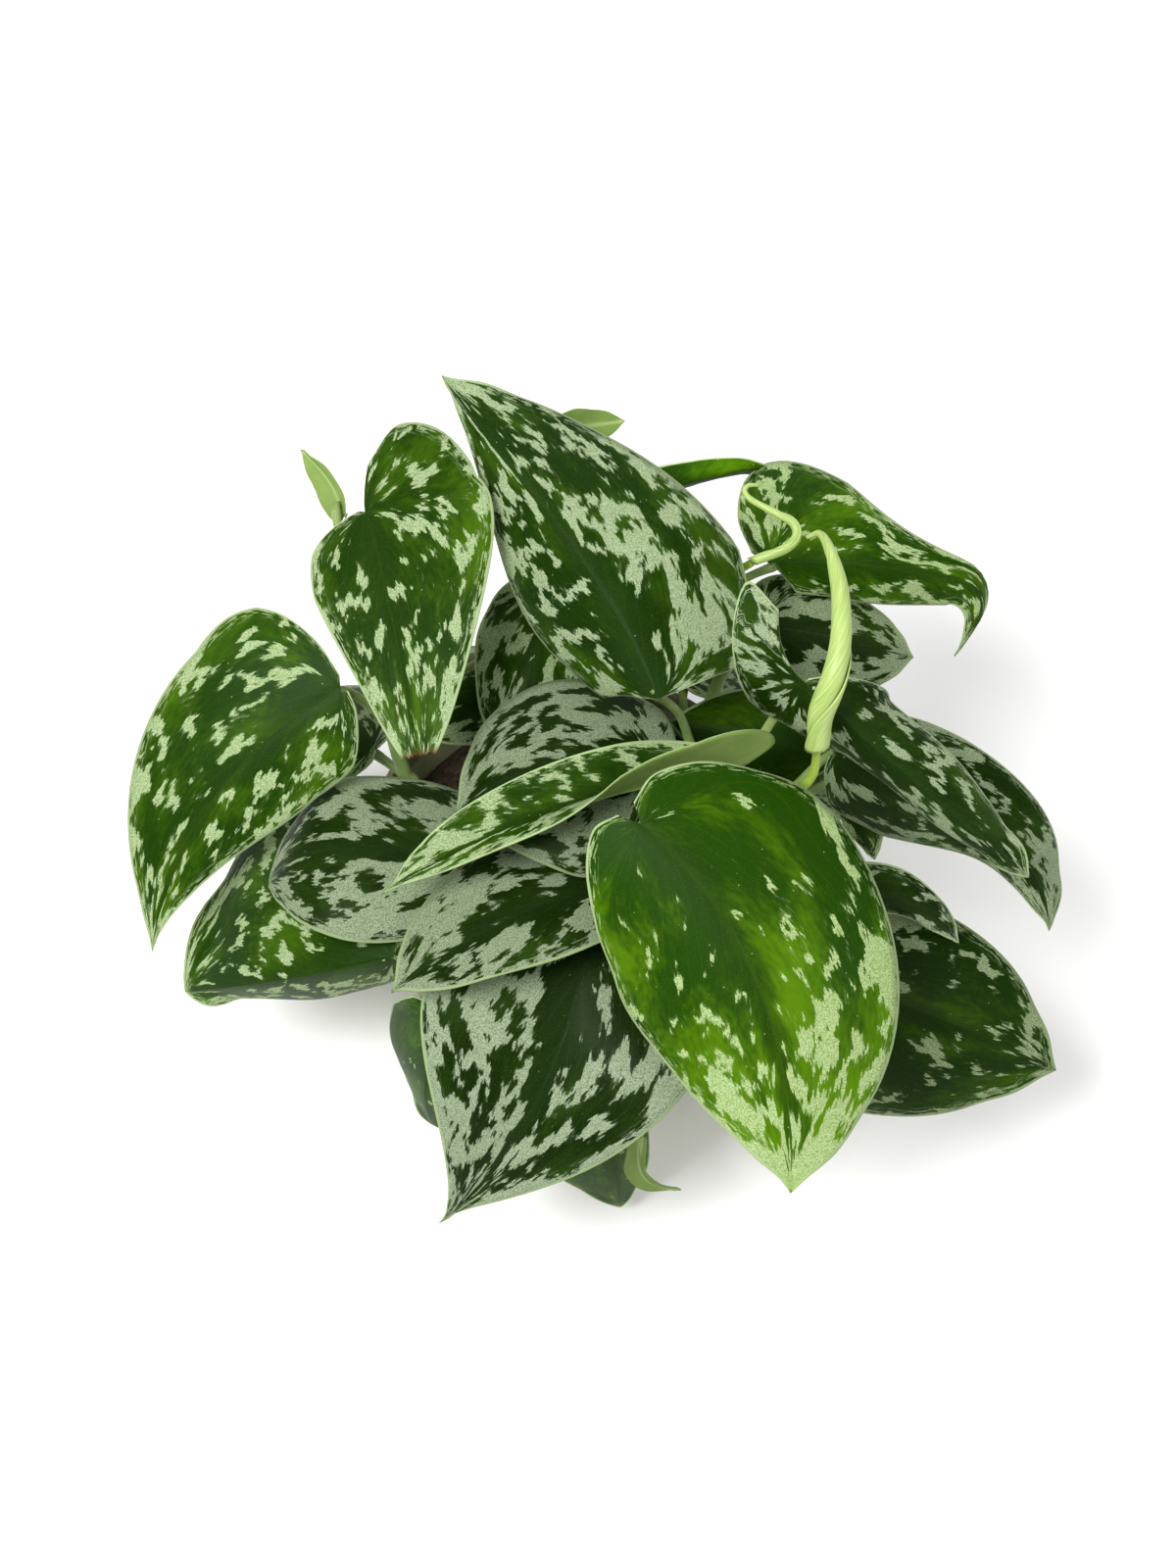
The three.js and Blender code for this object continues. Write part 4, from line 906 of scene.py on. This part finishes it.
def leaf_material():
    s = Shading("satin_leaf")
    along, across, seed = s.attribute("vein_map")
    to_edge, along_edge, off_midrib = s.attribute("edge_map")
    share, dry, light = s.attribute("blade_map")
    under, _, _ = s.attribute("side_map")
    cover, tone, tipward = s.attribute("look_map")
    object_place = s.place()
    grain = s.noise(object_place, scale=2600, roughness=0.6)
    vein_lines = s.math("ABSOLUTE", s.math("SINE", s.times(across, 0.95)))

    # how silver it is
    field, patch = silver_field(s, along, across, seed)
    band = s.even(share, *MIDRIB_BAND)
    uneven = s.math("DIVIDE", s.add(off_midrib, s.swing(patch, MIDRIB_UNEVEN)), band)
    near_midrib = s.map(uneven, *MIDRIB_EDGE, 1.0, 0.0)
    above = s.less(field, silver_level(s, share, to_edge, near_midrib, cover, tipward))
    silver = s.map(above, -PATCH_EDGE, PATCH_EDGE)
    streaks = s.veined(along, across, 0.3, 3.2, seed, detail=1.0)
    haze = s.times(s.map(above, -HAZE_BELOW, 0.0), s.map(streaks, 0.52, 0.62))
    silver = s.math("MAXIMUM", silver, s.times(haze, HAZE))
    margin, dashes = leaf_margin(s, to_edge, along_edge, seed)
    silver = s.math("MAXIMUM", silver, s.times(dashes, s.map(cover, 0.0, 0.15)))

    # colour
    green = leaf_greens(s, along, across, seed, share, near_midrib, vein_lines, grain, tone, tipward)
    bright = s.mix(s.map(grain, 0.34, 0.64), s.tint(tone, SILVER_DARK), s.tint(tone, SILVER_LIGHT))
    upper = s.mix(margin, s.mix(silver, green, bright), paint(*MARGIN_PALE))
    upper = s.mix(s.map(share, 0.94, 1.0, 0.0, 0.7), upper, s.tint(tone, TIP_PALE))
    # Painted glints: tiny pale specks over the upper side, for the sparkle of its surface.
    painted_glints = s.node("ShaderNodeTexVoronoi", {"Vector": object_place, "Scale": 260.0})
    upper = s.mix(s.map(painted_glints, 0.035, 0.055, 0.45, 0.0), upper, paint(*PAINTED_GLINT_PALE))
    color = s.mix(under, upper, leaf_under(s, object_place, off_midrib))
    color = s.mix(dry, color, s.tint(grain, DRIED_BROWN))
    # Painted shade: the whole colour is scaled by the blade's light level, darker for the shade it lies
    # in, lighter where that level is above 1.
    color = s.node("ShaderNodeVectorMath", (color, s.vector(light, light, light)), operation="MULTIPLY")

    # finish
    roughness = s.add(s.even(silver, 0.4, 0.5), s.times(grain, 0.08))
    relief = s.add(s.add(s.times(silver, 0.35), s.times(grain, 0.25)), s.times(vein_lines, 0.3))
    return s.finish(color, roughness, s.bump(relief, 0.3, 0.0001), specular=0.04)


def young_material():
    s = Shading("young_leaf")
    place = s.place()
    along, around, _ = s.attribute("roll_map")
    lines = s.veined(along, around, 0.1, 1.6, 0.0, detail=3.0)
    cloud = s.noise(place, scale=120)
    grain = s.noise(place, scale=3000)
    color = s.tint(s.map(lines, 0.3, 0.7), YOUNG_GREEN)
    color = s.mix(s.map(cloud, 0.45, 0.7, 0.0, 0.5), color, paint(*YOUNG_CLOUD))
    roughness = s.even(grain, 0.42, 0.56)
    normal = s.bump(s.add(lines, s.times(grain, 0.3)), 0.4, 0.0002)
    return s.finish(color, roughness, normal)


def stem_material():
    s = Shading("green_stem")
    fresh, _, _ = s.attribute("stem_map")
    place = s.place()
    cloud = s.map(s.noise(place, scale=60, detail=3.0), 0.3, 0.7)
    fine = s.noise(place, scale=900, detail=3.0, roughness=0.6)
    color = s.mix(s.map(fine, 0.58, 0.72, 0.0, 0.5), s.tint(cloud, STEM_GREEN), paint(*STEM_SPECK))
    color = s.mix(fresh, color, s.tint(cloud, SHOOT_GREEN))
    roughness = s.even(fine, 0.4, 0.6)
    return s.finish(color, roughness, s.bump(fine, 0.3, 0.0002))


def pot_material():
    s = Shading("khaki_plastic")
    place = s.place()
    cloud = s.noise(place, scale=22, detail=4.0, roughness=0.6)
    fine = s.noise(place, scale=1400)
    upright = s.node("ShaderNodeVectorMath", (place, (1.0, 1.0, 9.0)), operation="MULTIPLY")
    scuffs = s.noise(upright, scale=55, detail=5.0, roughness=0.7)
    color = s.tint(s.map(cloud, 0.3, 0.7), POT_KHAKI)
    color = s.mix(s.map(fine, 0.6, 0.75, 0.0, 0.25), color, paint(*POT_SPECK))
    color = s.mix(s.map(scuffs, 0.6, 0.72, 0.0, 0.35), color, paint(*POT_SCUFF))
    roughness = s.map(cloud, 0.2, 0.8, 0.42, 0.6, kind="LINEAR")
    return s.finish(color, roughness, s.bump(fine, 0.25, 0.0001))


def mix_material():
    s = Shading("dark_mix")
    place = s.place()
    cells = s.node("ShaderNodeTexVoronoi", {"Vector": place, "Scale": 520.0}, output=1)
    cell = s.node("ShaderNodeSeparateColor", (cells,))
    fine = s.noise(place, scale=1500, detail=4.0, roughness=0.7)
    color = s.mix(s.map(fine, 0.5, 0.7, 0.0, 0.6), s.tint(cell, MIX_BROWN), paint(*MIX_SPECK))
    roughness = s.even(fine, 0.8, 1.0)
    return s.finish(color, roughness, s.bump(fine, 0.8, 0.0006))


def floor_material():
    s = Shading("pale_floor")
    fine = s.noise(s.place(), scale=40)
    color = s.mix(fine, linear(*FLOOR_PALE[0]), linear(*FLOOR_PALE[1]))
    roughness = s.even(fine, 0.7, 0.8)
    return s.finish(color, roughness)


# ---- pieces ----

def give_map(piece, name, layers, shape, pointed):
    """Gives both sides of a thin body the same three values at each point of its grid."""
    stacked = np.stack([np.broadcast_to(layer, shape) for layer in layers], axis=-1)
    values = skin_values(stacked, pointed)
    give_vectors(piece, name, np.vstack([values, values]))


def blade_sides(grid, across, edges, rng):
    """Both sides of a blade: rippled, with a groove along the midrib above and a ridge below."""
    to_edge, _, off_midrib = edges
    share = np.clip(grid["x"], 0, 1)
    phase = rng.random(2) * 2 * np.pi
    side_phase = np.where(grid["on_right"], phase[0], phase[1])
    ripple = RIPPLE * grid["f"]**2 * np.sin(2 * np.pi * grid["veins"] * RIPPLE_COUNT + side_phase)
    ripple = ripple * smooth(0, RIPPLE_FROM, off_midrib)
    relief = VEIN_RELIEF * np.sin(across * VEIN_PACE) * smooth(1, 6, off_midrib) * smooth(0, 3, to_edge)
    thick = between((MARGIN_THICKNESS, BLADE_THICKNESS), smooth(0, MARGIN_WIDTH, to_edge))
    furrow = np.exp(-(off_midrib / MIDRIB_WIDTH)**2)
    top = thick / 2 + ripple + relief - between(MIDRIB_GROOVE, share) * furrow
    bottom = -thick / 2 + ripple + relief - between(MIDRIB_RIDGE, share) * furrow
    normals = grid_normals(grid["points"])
    return [grid["points"] + normals * height[..., None] for height in (top, bottom)]


def blade_piece(name, blade, material, seed):
    rng = np.random.default_rng(seed)
    grid = blade_grid(blade, rng)
    pointed = "cut" not in blade
    along, across = vein_coordinates(grid)
    edges = edge_coordinates(grid)
    sides = [skin_values(side, pointed) for side in blade_sides(grid, across, edges, rng)]
    piece = make_object(name, np.vstack(sides), skin_faces(*along.shape, pointed), material)

    share = np.clip(grid["x"], 0, 1)
    from_end = grid["length"] * (share[-1].max() - share)
    dry = 1 - smooth(0, max(blade.get("dry", 0), LEAST_DRY), from_end)
    look = (blade.get("cover", DEFAULT_COVER), blade.get("tone", DEFAULT_TONE), blade.get("tipward", 0))
    maps = {
        "vein_map": (along, across, seed * SALT_STEP + blade.get("salt", 0)),
        "edge_map": edges,
        "blade_map": (share, dry, 1 - blade.get("painted_shade", 0)),
        # the third value is the blade's painted shade, as a light level that scales its colour
        "look_map": look,
    }
    for map_name, layers in maps.items():
        give_map(piece, map_name, layers, share.shape, pointed)
    give_vectors(piece, "side_map", np.repeat([(0.0, 0, 0), (1.0, 0, 0)], len(sides[0]), axis=0))
    return piece


def stalk_line(leaf, start, settings):
    """The line of a stalk from its stem up into the base of its blade."""
    blade = BLADES[leaf]
    along, _, up = Midrib(blade).frame(np.array(0.0))
    base = np.array(blade["base"], float)
    if settings.get("in_line"):
        line = [start, *settings["via"], base - along * IN_LINE_GAP, base + along]
        return smooth_line(line, VIA_STEPS)
    lean = settings.get("lean", STALK_LEAN)
    arrival = unit(along * (1 - lean) + up * lean)
    end = base + along * STALK_INSET - up * settings.get("drop", STALK_DROP)
    joint = base + along * (STALK_INSET + JOINT_AHEAD) - up * JOINT_DROP
    if "via" in settings:
        return smooth_line([start, *settings["via"], end, joint], VIA_STEPS)
    reach = STALK_REACH * np.linalg.norm(end - start)
    leave = end - start
    leave[2] = 0
    leave = unit(leave) * STALK_OUT + (0, 0, STALK_UP)
    handles = [start, start + unit(leave) * reach, end - arrival * reach, end]
    return np.vstack([bezier(handles, np.linspace(0, 1, STALK_STEPS)), joint])


# A stalk's sheath and knee and a stem's knots, in mm of radius. Spans are shares of the length, but
# mm for the knee and the stalk's end.
SHEATH_SWELL = 0.9
SHEATH_SPAN = 0.3
KNEE_SWELL = 0.35
KNEE_BACK = 5
KNEE_SPAN = 2.5
END_SLIM = 0.5
END_SPAN = 2.5
KNOT_SWELL = 0.55
KNOT_SPAN = 0.022
WAIST_SLIM = 0.2
WAIST_AHEAD = 0.04
WAIST_SPAN = 0.02


def swell(distance, span):
    """1 at distance 0, fading on both sides of it."""
    return np.exp(-(distance / span)**2)


def stalk_radii(line):
    """A stalk is wide at its sheath, slim in the middle and swollen just below its blade."""
    travel = lengths_along(line)
    t = travel / travel[-1]
    sheath = SHEATH_SWELL * (1 - smooth(0.0, SHEATH_SPAN, t))
    knee = KNEE_SWELL * swell(travel[-1] - travel - KNEE_BACK, KNEE_SPAN)
    return between(STALK_RADII, t) + sheath + knee - END_SLIM * smooth(-END_SPAN, 0, travel - travel[-1])


def stem_radii(count, nodes):
    """A stem has a knot where each stalk leaves it, and is slimmer just past it."""
    t = np.linspace(0, 1, count)
    radii = between(STEM_RADII, t)
    for node in nodes:
        radii = radii + KNOT_SWELL * swell(t - node, KNOT_SPAN)
        radii = radii - WAIST_SLIM * swell(t - node - WAIST_AHEAD, WAIST_SPAN)
    return radii


def vine_piece(name, vine, material):
    coarse = smooth_line(vine["stem"], FRAME_STEM_STEPS)
    stem = smooth_line(vine["stem"], STEM_STEPS)
    nodes = [share for _, share, _ in vine["stalks"]]
    parts = [tube(stem, stem_radii(len(stem), nodes), STEM_SIDES)]
    for leaf, share, settings in vine["stalks"]:
        place = share * (len(coarse) - 1)
        i = min(int(place), len(coarse) - 2)
        line = stalk_line(leaf, between(coarse[i:i + 2], place - i), settings)
        parts.append(tube(line, stalk_radii(line), STALK_SIDES))
    shoot_from = sum(len(points) for points, _ in parts)
    if "shoot" in vine:
        shoot = smooth_line(vine["shoot"], SHOOT_STEPS)
        parts.append(tube(shoot, np.linspace(*STALK_RADII, len(shoot)), STALK_SIDES))
    points, faces = joined(parts)
    piece = make_object(name, points, faces, material)
    fresh = np.zeros((len(points), 3))
    fresh[shoot_from:, 0] = 1
    give_vectors(piece, "stem_map", fresh)
    return piece


def rolled_piece(name, leaf, material):
    """A leaf that is still rolled: a sheet wound round its own midrib, with a free edge outside."""
    line = smooth_line(leaf["line"], ROLL_STEPS)
    travel = lengths_along(line)
    t = travel / travel[-1]
    swollen = between((ROLL_FOOT, 1), np.minimum(1, ROLL_SWELL * t))
    radius = leaf["radius"] * swollen * (1 - t)**ROLL_TAPER + ROLL_TIP
    directions = unit(np.gradient(line, axis=0))
    u = np.cross(directions[0], (0.0, 0, 1.0))
    if np.linalg.norm(u) < ROLL_UPRIGHT:
        u = np.cross(directions[0], (1.0, 0, 0))
    winding = np.linspace(0, 1, ROLL_COLUMNS)
    turn = 2 * np.pi * ROLL_TURNS * winding
    rows = []
    for point, direction, r, share in zip(line, directions, radius, t):
        u = square_to(u, direction)
        v = np.cross(direction, u)
        angle = turn + ROLL_START + ROLL_TWIST * share
        ring = np.cos(angle)[:, None] * u + np.sin(angle)[:, None] * v
        lip = ROLL_LIP * (1 - winding)**LIP_ROUND * (1 - share)**LIP_ALONG
        rows.append(point + ring * (r * (1 - ROLL_STEP * winding))[:, None] - direction * lip[:, None])
    points = np.array(rows)
    inward = unit(line[:, None, :] - points)
    thick = np.minimum(ROLL_THICKNESS, ROLL_THIN * radius)[:, None, None]
    sides = [skin_values(side, False) for side in (points, points + inward * thick)]
    faces = [tuple(reversed(face)) for face in skin_faces(*points.shape[:2], False)]
    piece = make_object(name, np.vstack(sides), faces, material)
    layers = (travel[:, None], turn * leaf["radius"], 0)
    give_map(piece, "roll_map", layers, points.shape[:2], False)
    return piece


def lathe(profile, sides):
    """Points and faces of a profile of (radius, z) turned about Z, closed on the axis at both ends."""
    angles = 2 * np.pi * np.arange(sides) / sides
    points = [(0, 0, profile[0][1])]
    for radius, z in profile[1:-1]:
        points.extend((radius * math.cos(a), radius * math.sin(a), z) for a in angles)
    points.append((0, 0, profile[-1][1]))
    return np.array(points), ring_faces(len(profile) - 2, sides)


def wall_radius(z):
    return BASE_RADIUS + (SHOULDER_RADIUS - BASE_RADIUS) * z / (POT_HEIGHT - RIM_BAND)


def mix_radius(z):
    return wall_radius(z) - WALL - MIX_GAP


def pot_profile():
    band = POT_HEIGHT - RIM_BAND
    rim = []
    centre = RIM_RADIUS - WALL / 2
    for degrees in range(0, 181, RIM_STEP):
        a = math.radians(degrees)
        rim.append((centre + WALL / 2 * math.cos(a), POT_HEIGHT - RIM_ROUND + RIM_ROUND * math.sin(a)))
    return [
        (0, 0),
        (BASE_RADIUS - BASE_CHAMFER, 0),
        (wall_radius(BASE_CHAMFER / 3) - BASE_CHAMFER / 3, BASE_CHAMFER / 3),
        (wall_radius(BASE_CHAMFER), BASE_CHAMFER),
        (SHOULDER_RADIUS, band - BAND_SLOPE),
        (SHOULDER_RADIUS + BAND_EASE_OUT, band - BAND_SLOPE + BAND_EASE),
        (RIM_RADIUS - BAND_EASE_IN, band - BAND_EASE),
        (RIM_RADIUS, band),
        *rim,
        (RIM_RADIUS - WALL, band + BAND_SLOPE),
        (SHOULDER_RADIUS - WALL, band - BAND_SLOPE),
        (wall_radius(FLOOR) - WALL, FLOOR),
        (0, FLOOR),
    ]


def drill(piece):
    """Cuts the drainage holes through the pot's base."""
    for i in range(DRAIN_COUNT):
        angle = 2 * math.pi * i / DRAIN_COUNT
        x, y = DRAIN_RING * math.cos(angle), DRAIN_RING * math.sin(angle)
        profile = [(0, -FLOOR), (DRAIN_RADIUS, -FLOOR), (DRAIN_RADIUS, 2 * FLOOR), (0, 2 * FLOOR)]
        points, faces = lathe(profile, DRAIN_SIDES)
        tool = make_object("drill", points + (x, y, 0), faces, piece.data.materials[0])
        cut = piece.modifiers.new("hole", "BOOLEAN")
        cut.operation = "DIFFERENCE"
        cut.object = tool
        graph = bpy.context.evaluated_depsgraph_get()
        mesh = bpy.data.meshes.new_from_object(piece.evaluated_get(graph))
        piece.modifiers.clear()
        piece.data = mesh
        bpy.data.objects.remove(tool)


def pot_piece(material):
    points, faces = lathe(pot_profile(), POT_SIDES)
    piece = make_object("grow_pot", points, faces, material)
    drill(piece)
    piece.data.shade_smooth()
    piece.data.set_sharp_from_angle(angle=math.radians(SHARP_FROM))
    return piece


def mound(radius, angle):
    """Height of the mix's surface over its plain top, in mm."""
    x, y = radius * np.cos(angle), radius * np.sin(angle)
    lumps = np.sin(x * 0.21 + 1.3) * np.cos(y * 0.17) + 0.6 * np.sin(x * 0.47 + y * 0.39)
    lumps = lumps + 0.35 * np.sin(x * 1.13 - y * 0.71) + 0.3 * np.cos(x * 0.83 + y * 1.21 + 2)
    return MIX_ROUGHNESS * (0.35 * lumps - 0.6)


def mix_piece(material, rng):
    inside = mix_radius(MIX_TOP)
    angles = 2 * np.pi * np.arange(MIX_SIDES) / MIX_SIDES
    rings = [(mix_radius(z), np.full(MIX_SIDES, z)) for z in (FLOOR + MIX_GAP, MIX_TOP - MIX_SHOULDER)]
    for i in range(MIX_RINGS, 0, -1):
        radius = inside * i / MIX_RINGS - (MIX_EDGE_GAP if i == MIX_RINGS else 0)
        drop = MIX_EDGE_DROP * smooth(inside - MIX_EDGE_WIDTH, inside, radius)
        jitter = rng.normal(0, MIX_JITTER, MIX_SIDES)
        rings.append((radius, MIX_TOP + mound(radius, angles) - drop + jitter))
    points = [(0, 0, FLOOR + MIX_GAP)]
    for radius, heights in rings:
        points.extend(zip(radius * np.cos(angles), radius * np.sin(angles), heights))
    points.append((0, 0, MIX_TOP + float(mound(0, 0))))
    return make_object("potting_mix_bed", points, ring_faces(len(rings), MIX_SIDES), material)


CRUMB_CORNERS = np.array([(1, 0, 0), (-1, 0, 0), (0, 1, 0), (0, -1, 0), (0, 0, 1), (0, 0, -1)], float)
CRUMB_FACES = [(0, 2, 4), (2, 1, 4), (1, 3, 4), (3, 0, 4), (2, 0, 5), (1, 2, 5), (3, 1, 5), (0, 3, 5)]


def crumbs_piece(material, rng):
    """Bark chips and crumbs that lie on the mix."""
    parts = []
    inside = mix_radius(MIX_TOP) - CRUMB_RADII[1]
    for _ in range(CRUMB_COUNT):
        radius = inside * math.sqrt(rng.random())
        angle = 2 * math.pi * rng.random()
        size = between(CRUMB_RADII, rng.random()**CRUMB_POWER)
        shape = size * between(CRUMB_STRETCH, rng.random(3)) * CRUMB_FLAT
        corners = CRUMB_CORNERS * shape * between(CRUMB_BUMPS, rng.random((6, 1)))
        turn = 2 * math.pi * rng.random()
        c, s = math.cos(turn), math.sin(turn)
        corners = corners @ np.array([(c, s, 0), (-s, c, 0), (0, 0, 1)])
        height = MIX_TOP + float(mound(radius, angle)) + CRUMB_LIFT * size
        corners = corners + (radius * math.cos(angle), radius * math.sin(angle), height)
        parts.append((corners, CRUMB_FACES))
    points, faces = joined(parts)
    return make_object("potting_mix_crumbs", points, faces, material, smooth_shading=False)


# ---- stage ----

def aimed(thing, target):
    direction = Vector(target) * MM - thing.location
    thing.rotation_euler = direction.to_track_quat("-Z", "Y").to_euler()


def add_camera():
    data = bpy.data.cameras.new("camera")
    data.lens = CAMERA_LENS
    data.sensor_width = CAMERA_SENSOR
    camera = bpy.data.objects.new("camera", data)
    bpy.context.scene.collection.objects.link(camera)
    angle = math.radians(CAMERA_ELEVATION)
    back = Vector((0, -math.cos(angle), math.sin(angle)))
    camera.location = (Vector(CAMERA_TARGET) + back * CAMERA_DISTANCE) * MM
    aimed(camera, CAMERA_TARGET)
    bpy.context.scene.camera = camera


def add_lamps():
    for name, lamp in LAMPS.items():
        data = bpy.data.lights.new(name, "AREA")
        data.energy = lamp["power"]
        data.size = lamp["size"] * MM
        thing = bpy.data.objects.new(name, data)
        thing.location = Vector(lamp["at"]) * MM
        bpy.context.scene.collection.objects.link(thing)
        aimed(thing, CAMERA_TARGET)


def add_world():
    world = bpy.data.worlds.new("studio")
    world.use_nodes = True
    background = world.node_tree.nodes["Background"]
    background.inputs["Color"].default_value = (1, 1, 1, 1)
    background.inputs["Strength"].default_value = WORLD_STRENGTH
    bpy.context.scene.world = world
    bpy.context.scene.view_settings.view_transform = "Standard"


def add_floor():
    half = FLOOR_SIZE / 2
    corners = [(x * half, y * half, -FLOOR_DROP) for x, y in ((-1, -1), (1, -1), (1, 1), (-1, 1))]
    floor = make_object("floor", np.array(corners), [(0, 1, 2, 3)], floor_material())


def dress(piece, slot, *nodes):
    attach(piece, "root")
    if nodes:
        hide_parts(*nodes)


def add_plant():
    leaf = leaf_material()
    for seed, (name, blade) in enumerate(BLADES.items(), start=1):
        dress(blade_piece("blade_" + name, blade, leaf, seed), "leaf", name)
    stem = stem_material()
    for name, vine in VINES.items():
        dress(vine_piece("stems_" + name, vine, stem), "stem", name)
    young = young_material()
    for name, rolled in ROLLED_LEAVES.items():
        dress(rolled_piece("rolled_" + name, rolled, young), "young_leaf", name)


def add_pot():
    rng = np.random.default_rng(CRUMB_SEED)
    dress(pot_piece(pot_material()), "pot_plastic", "pot")
    mix = mix_material()
    dress(mix_piece(mix, rng), "potting_mix", "potting_mix")
    dress(crumbs_piece(mix, rng), "potting_mix")


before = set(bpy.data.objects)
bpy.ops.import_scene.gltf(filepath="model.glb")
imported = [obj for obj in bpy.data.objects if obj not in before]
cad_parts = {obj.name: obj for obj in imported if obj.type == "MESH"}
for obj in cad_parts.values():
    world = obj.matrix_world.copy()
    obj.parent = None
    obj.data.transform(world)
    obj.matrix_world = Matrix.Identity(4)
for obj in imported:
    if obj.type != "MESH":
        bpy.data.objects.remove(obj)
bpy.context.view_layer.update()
add_camera()
add_lamps()
add_world()
add_floor()
add_plant()
add_pot()
